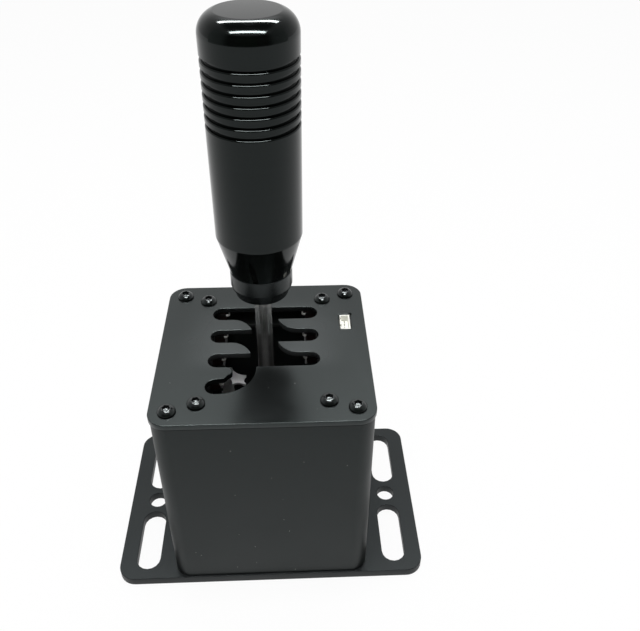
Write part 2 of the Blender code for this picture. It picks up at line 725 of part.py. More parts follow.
def cross_hole(radius):
    # A cutter along X through the pivot, longer than any piece that it goes through.
    return cylinder_mesh("pin_hole", radius, (-BASE_WIDTH, *PIVOT.yz), (BASE_WIDTH, *PIVOT.yz))


def make_bracket(zinc):
    seat = BASE_THICK + GAP
    flange_top = seat + BRACKET_FLANGE
    ear_in = CRADLE_INNER_X / 2 + CRADLE_BAR + SIDE_PLAY
    ear_out = ear_in + BRACKET_SHEET
    ear_half = BRACKET_EAR_WIDTH / 2
    front, back = REST_LANE_Y - WING_REACH, REST_LANE_Y + WING_REACH
    bracket = box("pivot_bracket", (-ear_out, front, seat), (ear_out, back, flange_top), zinc)
    ear = [(REST_LANE_Y - ear_half, seat + EDGE_BREAK), (REST_LANE_Y + ear_half, seat + EDGE_BREAK)]
    ear += arc((REST_LANE_Y, PIVOT_HEIGHT), ear_half, 0, 180, SLOT_STEPS)
    for side in (-1, 1):
        mesh = plate_mesh("ear", [ear], ear_in, ear_out - EDGE_BREAK)
        mesh.transform(Matrix(((0, 0, side, 0), (1, 0, 0, 0), (0, 1, 0, 0), (0, 0, 0, 1))))
        if side < 0:
            mesh.flip_normals()
        join(bracket, mesh)
    post = SPRING_MEAN_DIAMETER / 2 - SPRING_WIRE / 2 - SPRING_POST_GAP
    for side in (-1, 1):
        foot = (0, REST_LANE_Y + side * SPRING_Y, seat + EDGE_BREAK)
        tip = (0, REST_LANE_Y + side * SPRING_Y, flange_top + SPRING_POST_HEIGHT)
        join(bracket, cylinder_mesh("spring_post", post, foot, tip, HOLE_STEPS))
    cut(bracket, cross_hole(PIN_HOLE_RADIUS))
    for i, (sx, sy) in enumerate(CORNERS, 1):
        place = bracket_screw_place(sx, sy)
        foot, mouth = (*place, 0), (*place, PIVOT_HEIGHT)
        cut(bracket, cylinder_mesh("screw_hole", SCREW_HOLE_RADIUS, foot, mouth, HOLE_STEPS))
        length = BRACKET_FLANGE + BASE_THICK
        pan_head(
            f"bracket_screw_{i}", place, flange_top + GAP, SCREW_HEAD_DIAMETER, SCREW_HEAD_HEIGHT,
            SCREW_DIAMETER, length, zinc,
        )


def cradle_inner_y():
    return HUB_FLATS + 2 * SIDE_PLAY


def make_cradle(steel, select_axis):
    inner = Vector((CRADLE_INNER_X / 2, cradle_inner_y() / 2, CRADLE_HEIGHT))
    outer = Vector((inner.x + CRADLE_BAR, inner.y + CRADLE_BAR, CRADLE_HEIGHT / 2))
    cradle = box("select_cradle", PIVOT - outer, PIVOT + outer, steel)
    attach(cradle, select_axis)
    wing_top = PIVOT_HEIGHT - CRADLE_HEIGHT / 2 + EDGE_BREAK
    wing_bottom = PIVOT_HEIGHT - CRADLE_HEIGHT / 2 - WING_THICK
    for side in (-1, 1):
        near = REST_LANE_Y + side * (inner.y + EDGE_BREAK)
        far = REST_LANE_Y + side * WING_REACH
        low = (-WING_WIDTH / 2, min(near, far), wing_bottom)
        high = (WING_WIDTH / 2, max(near, far), wing_top)
        join(cradle, box_mesh("wing", low, high))
    cut(cradle, box_mesh("window", PIVOT - inner, PIVOT + inner))
    cut(cradle, cross_hole(PIN_HOLE_RADIUS))
    back, front = PIVOT + Vector((0, BASE_DEPTH, 0)), PIVOT - Vector((0, BASE_DEPTH, 0))
    cut(cradle, cylinder_mesh("axle_hole", PIN_HOLE_RADIUS, front, back))


def headed_pin(name, head_seat, length, material):
    # A plain pin that points down, under its head.
    head = PIN_HEAD_DIAMETER / 2
    top, c = PIN_HEAD_HEIGHT, EDGE_BREAK
    profile = [(0, top), (head - c, top), (head, top - c), (head, 0), (PIN_RADIUS, 0)]
    profile += [(PIN_RADIUS, c - length), (PIN_RADIUS - c, -length), (0, -length)]
    pin = turned(name, profile, material, PIN_STEPS)
    pin.location = head_seat
    return pin


def make_pins(steel, spring_steel, select_axis):
    seat = CRADLE_INNER_X / 2 + CRADLE_BAR + SIDE_PLAY + BRACKET_SHEET + GAP
    for side, label in ((-1, "left"), (1, "right")):
        length = seat - CRADLE_INNER_X / 2 - SIDE_PLAY
        pin = headed_pin(f"select_pin_{label}", PIVOT + Vector((side * seat, 0, 0)), length, steel)
        pin.rotation_euler = (0, side * math.pi / 2, 0)
        attach(pin, select_axis)
    face = cradle_inner_y() / 2 + CRADLE_BAR + GAP
    axle = headed_pin("throw_axle", PIVOT - Vector((0, face, 0)), 2 * face + 4 * CLIP_THICK, steel)
    axle.rotation_euler = (math.pi / 2, 0, 0)
    attach(axle, select_axis)
    inner, outer = PIN_HOLE_RADIUS, PIN_HEAD_DIAMETER / 2
    ring = [(outer, CLIP_THICK), (outer, 0), (inner, 0), (inner, CLIP_THICK)]
    clip = turned("axle_clip", ring, spring_steel, PIN_STEPS, closed=True)
    clip.location = PIVOT + Vector((0, face + CLIP_THICK, 0))
    clip.rotation_euler = (math.pi / 2, 0, 0)
    attach(clip, select_axis)


def coil_points(low, high):
    # Centre line of a plain coil about its own axis, from the bottom up.
    count = SPRING_TURNS * POINTS_PER_TURN
    rise = high - low - SPRING_WIRE
    radius = SPRING_MEAN_DIAMETER / 2
    points = []
    for i in range(count + 1):
        angle = 2 * math.pi * i / POINTS_PER_TURN
        height = low + SPRING_WIRE / 2 + rise * i / count
        points.append(Vector((radius * math.cos(angle), radius * math.sin(angle), height)))
    return points


def least_gap(points):
    # Between turns: points at least two thirds of a turn apart.
    apart = 2 * POINTS_PER_TURN // 3
    return min((a - b).length for i, a in enumerate(points) for b in points[i + apart:]) - SPRING_WIRE


def make_springs(spring_steel):
    low = BASE_THICK + 2 * GAP + BRACKET_FLANGE
    high = PIVOT_HEIGHT - CRADLE_HEIGHT / 2 - WING_THICK - GAP
    points = coil_points(low, high)
    print(f"select springs: least gap between turns {least_gap(points) * 1000:.2f} mm")
    for side, label in ((1, "rear"), (-1, "front")):
        curve = bpy.data.curves.new("spring", "CURVE")
        curve.dimensions = "3D"
        curve.bevel_depth = SPRING_WIRE / 2
        curve.bevel_resolution = 1
        curve.use_fill_caps = True
        spline = curve.splines.new("POLY")
        spline.points.add(len(points) - 1)
        for knot, place in zip(spline.points, points):
            knot.co = (*place, 1)
        spring = add_part(f"select_spring_{label}", mesh_of(curve), spring_steel)
        spring.location = (0, REST_LANE_Y + side * SPRING_Y, 0)


# Lever and knob, all on the throw axis

def make_hub(steel, black, throw_axis):
    low, high = PIVOT_HEIGHT - HUB_BELOW, PIVOT_HEIGHT + HUB_ABOVE
    middle = (0, REST_LANE_Y)
    body = cylinder_mesh("lever_hub", HUB_DIAMETER / 2, (*middle, low), (*middle, high), ROD_STEPS)
    hub = add_part("lever_hub", body, steel)
    attach(hub, throw_axis)
    half = HUB_FLATS / 2
    for side in (-1, 1):
        near = REST_LANE_Y + side * half
        far = REST_LANE_Y + side * HUB_DIAMETER
        bottom = (-HUB_DIAMETER, min(near, far), low - HUB_BELOW)
        top = (HUB_DIAMETER, max(near, far), PIVOT_HEIGHT + CRADLE_HEIGHT / 2 + HUB_BELOW / 2)
        cut(hub, box_mesh("flat", bottom, top))
    bore = rod_bottom() - GAP
    mouth = (*middle, high + HUB_BELOW)
    cut(hub, cylinder_mesh("rod_bore", ROD_RADIUS + RUN_GAP, (*middle, bore), mouth, ROD_STEPS))
    front, back = PIVOT - Vector((0, HUB_DIAMETER, 0)), PIVOT + Vector((0, HUB_DIAMETER, 0))
    cut(hub, cylinder_mesh("axle_bore", PIN_HOLE_RADIUS, front, back))
    height = high - HUB_BELOW / 2
    tip = (ROD_RADIUS + GAP, REST_LANE_Y, height)
    end = (HUB_DIAMETER / 2 - EDGE_BREAK, REST_LANE_Y, height)
    outside = (HUB_DIAMETER, REST_LANE_Y, height)
    inside = (0, REST_LANE_Y, height)
    cut(hub, cylinder_mesh("set_screw_hole", SET_SCREW_RADIUS + RUN_GAP, inside, outside, HOLE_STEPS))
    grub = cylinder_mesh("hub_set_screw", SET_SCREW_RADIUS, tip, end, HOLE_STEPS)
    attach(add_part("hub_set_screw", grub, black), throw_axis)


def rod_bottom():
    return PIVOT_HEIGHT + PIN_HOLE_RADIUS + HUB_FLOOR


def nut_bottom():
    return GATE_TOP + ROD_SHOWN


def collar_bottom():
    return nut_bottom() + LOCK_NUT_HEIGHT + GAP


def knob_bottom():
    return collar_bottom() + COLLAR_HEIGHT + GAP


def make_lever(steel, black, throw_axis):
    top = knob_bottom() + ROD_IN_KNOB
    r = ROD_RADIUS
    profile = [(0, top), (r - EDGE_BREAK, top), (r, top - EDGE_BREAK), (r, rod_bottom() + EDGE_BREAK)]
    profile += [(r - EDGE_BREAK, rod_bottom()), (0, rod_bottom())]
    rod = turned("lever_shaft", profile, steel, ROD_STEPS)
    bore = ROD_RADIUS + RUN_GAP
    low, high = nut_bottom(), nut_bottom() + LOCK_NUT_HEIGHT
    outer = LOCK_NUT_DIAMETER / 2
    c = LOCK_NUT_CHAMFER
    ring = [(outer, high), (outer, low + c), (outer - c, low), (bore, low), (bore, high)]
    nut = turned("knob_lock_nut", ring, black, ROUND_STEPS, closed=True)
    low, high = collar_bottom(), collar_bottom() + COLLAR_HEIGHT
    outer = COLLAR_DIAMETER / 2
    c = COLLAR_CHAMFER
    ring = [(outer - c, high), (outer, high - c), (outer, low + c), (outer - c, low)]
    ring += [(bore, low), (bore, high)]
    collar = turned("knob_collar", ring, black, ROUND_STEPS, closed=True)
    knob = turned("knob_body", knob_profile(), black, ROUND_STEPS)
    for piece in (rod, nut, collar, knob):
        piece.location = (0, REST_LANE_Y, 0)
        attach(piece, throw_axis)


def knob_profile():
    # From the middle of the crown down the grooved side and the cone, then up the bore.
    bottom = knob_bottom()
    foot = bottom + CONE_HEIGHT
    top = foot + KNOB_LENGTH
    wide, narrow = KNOB_TOP_DIAMETER / 2, KNOB_FOOT_DIAMETER / 2

    def side(height):
        return narrow + (wide - narrow) * (height - foot) / KNOB_LENGTH

    crown = KNOB_CROWN_RADIUS
    points = [(0, top)]
    points += [(wide - crown + x, top - crown + z) for x, z in arc((0, 0), crown, 90, 0, CORNER_STEPS)]
    for i in range(GROOVE_COUNT):
        middle = top - FIRST_GROOVE - GROOVE_PITCH * i
        upper, lower = middle + GROOVE_WIDTH / 2, middle - GROOVE_WIDTH / 2
        floor = side(middle) - GROOVE_DEPTH
        points += [(side(upper), upper), (floor, upper), (floor, lower)]
        points += [(side(lower) - GROOVE_LIP, lower), (side(lower - GROOVE_LIP), lower - GROOVE_LIP)]
    r = KNOB_FOOT_ROUND
    points += [(narrow - r + x, foot + r + z) for x, z in arc((0, 0), r, 0, -90, SMALL_STEPS)]
    bore = ROD_RADIUS + RUN_GAP
    ceiling = bottom + ROD_IN_KNOB + GAP
    return points + [(CONE_END_DIAMETER / 2, bottom), (bore, bottom), (bore, ceiling), (0, ceiling)]


# Rear stay

def stay_screw_place(side):
    return (STAY_X + side * STAY_SCREW_X, STAY_Y + STAY_SHEET + STAY_FOOT / 2)


def trim_shelf(stay, front, top):
    # Cuts the shelf narrow and hollows it, and cuts the strip down behind the shelf's right side.
    low, high = top - STAY_SHEET - GAP, top + GAP
    left, right = STAY_X - STAY_SHELF_WIDTH / 2, STAY_X + STAY_SHELF_WIDTH / 2
    edge = STAY_WIDTH / 2 + GAP
    step, back = front + STAY_SHELF_SIDE, STAY_Y + STAY_SHEET + GAP
    notch = STAY_NOTCH_HEIGHT
    cut(stay, box_mesh("left_side", (STAY_X - edge, front - GAP, low), (left, step, high)))
    cut(stay, box_mesh("right_side", (right, front - GAP, notch), (STAY_X + edge, back, high)))
    out = STAY_HOLLOW_RADIUS - STAY_HOLLOW
    hollows = [(left - out, front + STAY_HOLLOW), (right + out, (front + step) / 2), (STAY_X, front - out)]
    for x, y in hollows:
        cut(stay, cylinder_mesh("hollow", STAY_HOLLOW_RADIUS, (x, y, low), (x, y, high), PIN_STEPS))
    x, y = right, step + STAY_BACK_RADIUS
    cut(stay, cylinder_mesh("back_hollow", STAY_BACK_RADIUS, (x, y, notch), (x, y, high), ROUND_STEPS))


def make_stay(zinc):
    # A strip bent twice: a foot on the base plate, an upright, and a shelf that reaches forward at the top.
    seat = BASE_THICK + GAP
    t = STAY_SHEET
    top = STAY_SHELF_HEIGHT
    side_view = [
        (STAY_Y + t + STAY_FOOT, seat), (STAY_Y + t + STAY_FOOT, seat + t), (STAY_Y + t, seat + t),
        (STAY_Y + t, top), (STAY_Y - STAY_SHELF, top), (STAY_Y - STAY_SHELF, top - t),
        (STAY_Y, top - t), (STAY_Y, seat),
    ]
    mesh = plate_mesh("rear_stay", [side_view], STAY_X - STAY_WIDTH / 2, STAY_X + STAY_WIDTH / 2)
    mesh.transform(Matrix(((0, 0, 1, 0), (1, 0, 0, 0), (0, 1, 0, 0), (0, 0, 0, 1))))
    stay = add_part("rear_stay", mesh, zinc)
    trim_shelf(stay, STAY_Y - STAY_SHELF, top)
    for side in (-1, 1):
        x, y = stay_screw_place(side)
        hole = SMALL_SCREW_DIAMETER / 2 + RUN_GAP
        cut(stay, cylinder_mesh("screw_hole", hole, (x, y, 0), (x, y, PIVOT_HEIGHT), HOLE_STEPS))
        label = "left" if side < 0 else "right"
        pan_head(
            f"stay_screw_{label}", (x, y), seat + t + GAP, SMALL_HEAD_DIAMETER, SMALL_HEAD_HEIGHT,
            SMALL_SCREW_DIAMETER, t + BASE_THICK, zinc,
        )


def main():
    start()
    satin_black = finish("satin_black_paint", (0.022, 0.023, 0.024), 0.45, 0.0)
    knob_black = finish("black_anodised_knob", (0.012, 0.012, 0.013), 0.28, 0.6)
    screw_black = finish("black_oxide_screw", (0.02, 0.02, 0.021), 0.4, 0.7)
    bright_steel = finish("bright_steel", (0.62, 0.62, 0.6), 0.22, 1.0)
    zinc = finish("zinc_plate", (0.6, 0.6, 0.6), 0.4, 0.9)
    spring_steel = finish("spring_steel", (0.4, 0.4, 0.4), 0.35, 1.0)
    board_black = finish("switch_board_mask", (0.012, 0.014, 0.013), 0.5, 0.0)
    nylon_white = finish("header_nylon", (0.8, 0.79, 0.72), 0.5, 0.0)
    switch_red = finish("switch_case", (0.07, 0.014, 0.012), 0.5, 0.0)
    chip_black = finish("chip_case", (0.015, 0.015, 0.015), 0.5, 0.0)
    select_axis = joint_empty("select_axis", PIVOT)
    throw_axis = joint_empty("throw_axis", PIVOT, select_axis)
    make_base_plate(satin_black)
    make_housing(satin_black)
    make_gate_plate(satin_black)
    make_screws(screw_black, zinc)
    make_board(board_black, zinc, chip_black)
    make_header(nylon_white)
    make_switches(switch_red, bright_steel)
    make_bracket(zinc)
    make_cradle(zinc, select_axis)
    make_pins(bright_steel, spring_steel, select_axis)
    make_springs(spring_steel)
    make_hub(zinc, screw_black, throw_axis)
    make_lever(bright_steel, knob_black, throw_axis)
    make_stay(zinc)


main()
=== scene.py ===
import json
import math
import random

import bmesh
import bpy
from mathutils import Matrix, Vector

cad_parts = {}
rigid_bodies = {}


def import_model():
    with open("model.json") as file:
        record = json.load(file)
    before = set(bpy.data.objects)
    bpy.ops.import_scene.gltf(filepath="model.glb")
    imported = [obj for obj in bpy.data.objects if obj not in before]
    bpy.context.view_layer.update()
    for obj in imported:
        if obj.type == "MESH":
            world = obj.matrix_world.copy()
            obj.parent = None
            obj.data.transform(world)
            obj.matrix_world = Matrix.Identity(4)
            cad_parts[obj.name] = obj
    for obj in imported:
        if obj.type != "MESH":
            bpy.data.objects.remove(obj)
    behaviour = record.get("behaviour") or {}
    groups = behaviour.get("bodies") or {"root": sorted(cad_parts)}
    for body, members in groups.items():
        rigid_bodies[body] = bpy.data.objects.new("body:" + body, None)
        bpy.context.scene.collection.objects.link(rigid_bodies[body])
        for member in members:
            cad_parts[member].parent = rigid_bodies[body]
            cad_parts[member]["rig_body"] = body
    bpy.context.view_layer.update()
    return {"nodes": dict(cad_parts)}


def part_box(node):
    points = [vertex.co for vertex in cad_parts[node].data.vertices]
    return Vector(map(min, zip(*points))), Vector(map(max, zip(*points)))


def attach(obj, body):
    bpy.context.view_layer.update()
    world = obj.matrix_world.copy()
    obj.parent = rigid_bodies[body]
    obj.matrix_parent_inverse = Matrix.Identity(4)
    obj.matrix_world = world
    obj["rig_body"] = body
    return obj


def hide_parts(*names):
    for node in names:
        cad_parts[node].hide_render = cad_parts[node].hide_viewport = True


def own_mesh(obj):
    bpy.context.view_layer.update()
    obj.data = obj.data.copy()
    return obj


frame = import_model()
mm = 0.001
scene = bpy.context.scene


# Camera, from the vanishing lines of the base plate and the gate plate
cameraLook = {
    "place": (0.01426, -0.27416, 0.34783),
    "turn": -2.640,  # degrees to the right of +Y
    "tilt": 37.653,  # degrees below the horizon
    "roll": 0.344,
    "lens": 41.43,
    "sensor": 36.0,
}


def setCamera(look):
    turn, tilt, roll = (math.radians(look[key]) for key in ("turn", "tilt", "roll"))
    ahead = Vector((-math.sin(turn) * math.cos(tilt), math.cos(turn) * math.cos(tilt), -math.sin(tilt)))
    level = Vector((math.cos(turn), math.sin(turn), 0))
    upright = level.cross(ahead)
    right = math.cos(roll) * level + math.sin(roll) * upright
    up = math.cos(roll) * upright - math.sin(roll) * level
    data = bpy.data.cameras.new("camera")
    data.sensor_width = look["sensor"]
    data.lens = look["lens"]
    data.clip_start = 10 * mm
    camera = bpy.data.objects.new("camera", data)
    scene.collection.objects.link(camera)
    matrix = Matrix((right, up, -ahead)).transposed().to_4x4()
    matrix.translation = look["place"]
    camera.matrix_world = matrix
    scene.camera = camera


setCamera(cameraLook)
scene.view_settings.view_transform = "Standard"
print("camera set")


# Node helpers
def addNode(tree, kind, inputs=None, **settings):
    node = tree.nodes.new(kind)
    for key, value in settings.items():
        setattr(node, key, value)
    for key, value in (inputs or {}).items():
        if isinstance(value, bpy.types.NodeSocket):
            tree.links.new(value, node.inputs[key])
        else:
            node.inputs[key].default_value = value
    return node


def maths(tree, operation, first, second=0.0, clamp=False):
    node = addNode(tree, "ShaderNodeMath", {0: first, 1: second}, operation=operation, use_clamp=clamp)
    return node.outputs[0]


def remap(tree, value, low, high, toLow, toHigh, smooth=False):
    kind = "SMOOTHSTEP" if smooth else "LINEAR"
    places = {"Value": value, "From Min": low, "From Max": high, "To Min": toLow, "To Max": toHigh}
    return addNode(tree, "ShaderNodeMapRange", places, interpolation_type=kind).outputs[0]


def mixColour(tree, share, first, second):
    node = addNode(tree, "ShaderNodeMix", {0: share, 6: first, 7: second}, data_type="RGBA")
    return node.outputs[2]


def newGroup(name, inputs, outputs):
    tree = bpy.data.node_groups.new(name, "ShaderNodeTree")
    for label, kind in inputs:
        tree.interface.new_socket(label, in_out="INPUT", socket_type="NodeSocket" + kind)
    for label in outputs:
        tree.interface.new_socket(label, in_out="OUTPUT", socket_type="NodeSocketFloat")
    return tree, tree.nodes.new("NodeGroupInput").outputs, tree.nodes.new("NodeGroupOutput")


def useGroup(tree, group, inputs):
    return addNode(tree, "ShaderNodeGroup", inputs, node_tree=group).outputs


def rgba(colour):
    return (*colour, 1.0)


# Orange peel and fine grain of a sprayed or blasted coat, with a slow mottle
def makeCoatGrain():
    tree, given, out = newGroup(
        "coat grain", [("Vector", "Vector"), ("Peel", "Float"), ("Grain", "Float")], ["Height", "Mottle"]
    )
    peel = addNode(
        tree, "ShaderNodeTexNoise", {"Vector": given["Vector"], "Scale": given["Peel"], "Detail": 2.0}
    )
    grain = addNode(
        tree, "ShaderNodeTexNoise", {"Vector": given["Vector"], "Scale": given["Grain"], "Detail": 1.0}
    )
    slow = addNode(tree, "ShaderNodeTexNoise", {"Vector": given["Vector"], "Scale": 38.0, "Detail": 4.0})
    share = maths(tree, "MULTIPLY", peel.outputs[0], 0.6)
    height = maths(tree, "MULTIPLY_ADD", grain.outputs[0], 0.4)
    tree.links.new(share, height.node.inputs[2])
    tree.links.new(height, out.inputs["Height"])
    tree.links.new(remap(tree, slow.outputs[0], 0.3, 0.7, 0.0, 1.0), out.inputs["Mottle"])
    return tree


# Sparse specks of dust or lint: one in some cells, each its own size
def makeDustSpecks():
    tree, given, out = newGroup(
        "dust specks", [("Vector", "Vector"), ("Scale", "Float"), ("Size", "Float"), ("Share", "Float")],
        ["Mask"],
    )
    cells = addNode(tree, "ShaderNodeTexVoronoi", {"Vector": given["Vector"], "Scale": given["Scale"]})
    parts = addNode(tree, "ShaderNodeSeparateColor", {0: cells.outputs["Color"]})
    chosen = maths(tree, "LESS_THAN", parts.outputs[0], given["Share"])
    reach = maths(tree, "MULTIPLY", parts.outputs[1], given["Size"])
    inside = maths(tree, "LESS_THAN", cells.outputs["Distance"], reach)
    tree.links.new(maths(tree, "MULTIPLY", chosen, inside), out.inputs["Mask"])
    return tree


# Where handling has rubbed an edge: the rounded normal departs from the flat one, broken up by noise
def makeEdgeRub():
    tree, given, out = newGroup(
        "edge rub", [("Vector", "Vector"), ("Radius", "Float"), ("Patch", "Float"), ("Amount", "Float")],
        ["Mask"],
    )
    softened = addNode(tree, "ShaderNodeBevel", {"Radius": given["Radius"]}, samples=4)
    flat = addNode(tree, "ShaderNodeNewGeometry")
    dot = addNode(
        tree, "ShaderNodeVectorMath", {0: softened.outputs[0], 1: flat.outputs["True Normal"]},
        operation="DOT_PRODUCT"
    )
    turnedAway = remap(tree, dot.outputs["Value"], 0.99, 0.86, 0.0, 1.0)
    patches = addNode(
        tree, "ShaderNodeTexNoise", {"Vector": given["Vector"], "Scale": given["Patch"], "Detail": 5.0}
    )
    broken = remap(tree, patches.outputs[0], 0.42, 0.68, 0.0, 1.0)
    both = maths(tree, "MULTIPLY", turnedAway, broken)
    tree.links.new(maths(tree, "MULTIPLY", both, given["Amount"], clamp=True), out.inputs["Mask"])
    return tree


# Fine rings that a lathe leaves, along the side and across the ends of a turned piece
def makeTurnedRings():
    tree, given, out = newGroup(
        "turned rings", [("Vector", "Vector"), ("Scale", "Float")], ["Height", "Streak"]
    )
    parts = addNode(tree, "ShaderNodeSeparateXYZ", {0: given["Vector"]})
    flat = addNode(tree, "ShaderNodeCombineXYZ", {0: parts.outputs[0], 1: parts.outputs[1]})
    radius = addNode(tree, "ShaderNodeVectorMath", {0: flat.outputs[0]}, operation="LENGTH").outputs["Value"]
    along = maths(tree, "SUBTRACT", radius, parts.outputs[2])
    fine = addNode(
        tree, "ShaderNodeTexNoise", {"W": along, "Scale": given["Scale"], "Detail": 3.0},
        noise_dimensions="1D"
    )
    broad = addNode(
        tree, "ShaderNodeTexNoise", {"W": along, "Scale": 420.0, "Detail": 2.0}, noise_dimensions="1D"
    )
    tree.links.new(fine.outputs[0], out.inputs["Height"])
    tree.links.new(remap(tree, broad.outputs[0], 0.35, 0.65, 0.0, 1.0), out.inputs["Streak"])
    return tree


coatGrain = makeCoatGrain()
dustSpecks = makeDustSpecks()
edgeRub = makeEdgeRub()
turnedRings = makeTurnedRings()
print("shared node groups built")


def newFinish(name):
    material = bpy.data.materials.new(name)
    material.use_nodes = True
    tree = material.node_tree
    shader = tree.nodes["Principled BSDF"]
    place = addNode(tree, "ShaderNodeTexCoord").outputs["Object"]
    return material, tree, shader, place


def addBump(tree, shader, height, strength, depth):
    bump = addNode(tree, "ShaderNodeBump", {"Height": height, "Strength": strength, "Distance": depth})
    tree.links.new(bump.outputs[0], shader.inputs["Normal"])


# Black coats of the case
plateCoat = {
    "dark": (0.0022, 0.0025, 0.0026), "light": (0.0040, 0.0043, 0.0044), "rubbed": (0.03, 0.031, 0.032),
    "rough": (0.22, 0.28), "ior": 1.46, "tint": (0.86, 1.0, 0.99), "peel": 950.0, "grain": 4200.0,
    "bump": 0.05,
    "edge": 0.35 * mm, "rub": 0.35, "speck": 420.0, "speckSize": 0.10, "speckShare": 0.05,
    "paintedSheen": (0.040, 0.042, 0.043),  # painted sheen: paler about the lever, in place of the reflection that brightens the gate there
}
caseCoat = {
    "dark": (0.0060, 0.0069, 0.0069), "light": (0.0088, 0.0098, 0.0098), "rubbed": (0.03, 0.031, 0.032),
    "rough": (0.40, 0.48), "ior": 1.34, "tint": (0.86, 1.0, 0.99), "peel": 800.0, "grain": 3600.0,
    "bump": 0.1,
    "edge": 0.35 * mm, "rub": 0.3, "speck": 400.0, "speckSize": 0.11, "speckShare": 0.08,
    "paintedShadeLine": 113.4 * mm,  # painted shade: the dark shadow line under the gate plate
}
baseCoat = {
    "dark": (0.0050, 0.0056, 0.0058), "light": (0.0080, 0.0087, 0.0090), "rubbed": (0.03, 0.031, 0.032),
    "rough": (0.40, 0.50), "ior": 1.36, "tint": (0.88, 0.98, 1.0), "peel": 800.0, "grain": 3600.0,
    "bump": 0.1,
    "edge": 0.35 * mm, "rub": 0.35, "speck": 420.0, "speckSize": 0.10, "speckShare": 0.05,
}
dustColour = (0.22, 0.22, 0.21)


def blackCoat(name, look):
    material, tree, shader, place = newFinish(name)
    grain = useGroup(tree, coatGrain, {"Vector": place, "Peel": look["peel"], "Grain": look["grain"]})
    rub = useGroup(
        tree, edgeRub, {"Vector": place, "Radius": look["edge"], "Patch": 420.0, "Amount": look["rub"]}
    )["Mask"]
    specks = useGroup(
        tree, dustSpecks,
        {"Vector": place, "Scale": look["speck"], "Size": look["speckSize"], "Share": look["speckShare"]},
    )["Mask"]
    colour = mixColour(tree, grain["Mottle"], rgba(look["dark"]), rgba(look["light"]))
    # Painted sheen: a paler tone over the gate about the lever, standing in for a reflection
    if "paintedSheen" in look:
        parts = addNode(tree, "ShaderNodeSeparateXYZ", {0: place}).outputs
        across = remap(tree, maths(tree, "ABSOLUTE", parts[0]), 12 * mm, 44 * mm, 1.0, 0.0, True)
        along = remap(tree, parts[1], -18 * mm, -6 * mm, 0.0, 1.0, True)
        behind = remap(tree, parts[1], 10 * mm, 44 * mm, 1.0, 0.0, True)
        paintedSheen = maths(tree, "MULTIPLY", across, maths(tree, "MULTIPLY", along, behind))
        colour = mixColour(tree, paintedSheen, colour, rgba(look["paintedSheen"]))
    colour = mixColour(tree, rub, colour, rgba(look["rubbed"]))
    colour = mixColour(tree, specks, colour, rgba(dustColour))
    rough = remap(tree, grain["Mottle"], 0.0, 1.0, *look["rough"])
    # Painted shade: a near-black, rough band at the top of the case, where the shadow under the gate plate
    # falls
    if "paintedShadeLine" in look:
        parts = addNode(tree, "ShaderNodeSeparateXYZ", {0: place}).outputs
        paintedShadeLine = remap(tree, parts[2], look["paintedShadeLine"] - 0.1 * mm, look["paintedShadeLine"] + 0.1 * mm, 0.0, 1.0)
        colour = mixColour(tree, paintedShadeLine, colour, rgba((0.0004, 0.0004, 0.0004)))
        rough = maths(tree, "MAXIMUM", rough, paintedShadeLine)
    tree.links.new(colour, shader.inputs["Base Color"])
    tree.links.new(
        maths(tree, "MAXIMUM", rough, maths(tree, "MULTIPLY", specks, 0.9)), shader.inputs["Roughness"]
    )
    shader.inputs["IOR"].default_value = look["ior"]
    shader.inputs["Specular Tint"].default_value = rgba(look["tint"])
    addBump(tree, shader, grain["Height"], look["bump"], 0.1 * mm)
    return material


plateBlack = blackCoat("gate plate coat", plateCoat)
caseBlack = blackCoat("case coat", caseCoat)
baseBlack = blackCoat("base plate coat", baseCoat)


# Turned pieces: anodised knob and collar, polished rod, pins
knobFinish = {
    "dark": (0.0010, 0.0012, 0.0011), "light": (0.0018, 0.0021, 0.0019), "metallic": 0.0,
    "tint": (0.88, 1.0, 0.99),
    "rough": (0.085, 0.11), "ior": 1.33, "rings": 5200.0, "bump": 0.03, "depth": 0.02 * mm,
}
collarFinish = {
    "dark": (0.0040, 0.0046, 0.0048), "light": (0.0056, 0.0062, 0.0064), "metallic": 0.0,
    "tint": (0.88, 1.0, 1.0),
    "rough": (0.22, 0.27), "ior": 1.38, "rings": 4200.0, "bump": 0.08, "depth": 0.02 * mm,
}
rodFinish = {
    "dark": (0.76, 0.76, 0.75), "light": (0.84, 0.84, 0.83), "metallic": 1.0, "tint": (1.0, 1.0, 1.0),
    "rough": (0.235, 0.265), "ior": 1.5, "rings": 6000.0, "bump": 0.04, "depth": 0.01 * mm, "brushed": 0.8,
}
pinFinish = {
    "dark": (0.34, 0.34, 0.33), "light": (0.50, 0.50, 0.49), "metallic": 1.0, "tint": (1.0, 1.0, 1.0),
    "rough": (0.24, 0.36), "ior": 1.5, "rings": 4200.0, "bump": 0.3, "depth": 0.02 * mm,
}
screwFinish = {
    "dark": (0.0024, 0.0027, 0.0028), "light": (0.0050, 0.0053, 0.0056), "metallic": 0.0,
    "tint": (0.92, 1.0, 1.0),
    "rough": (0.12, 0.20), "ior": 1.6, "rings": 5200.0, "bump": 0.1, "depth": 0.02 * mm,
}
zincScrewFinish = {
    "dark": (0.38, 0.385, 0.39), "light": (0.55, 0.555, 0.56), "metallic": 1.0, "tint": (1.0, 1.0, 1.0),
    "rough": (0.28, 0.42), "ior": 1.5, "rings": 5200.0, "bump": 0.2, "depth": 0.02 * mm,
}


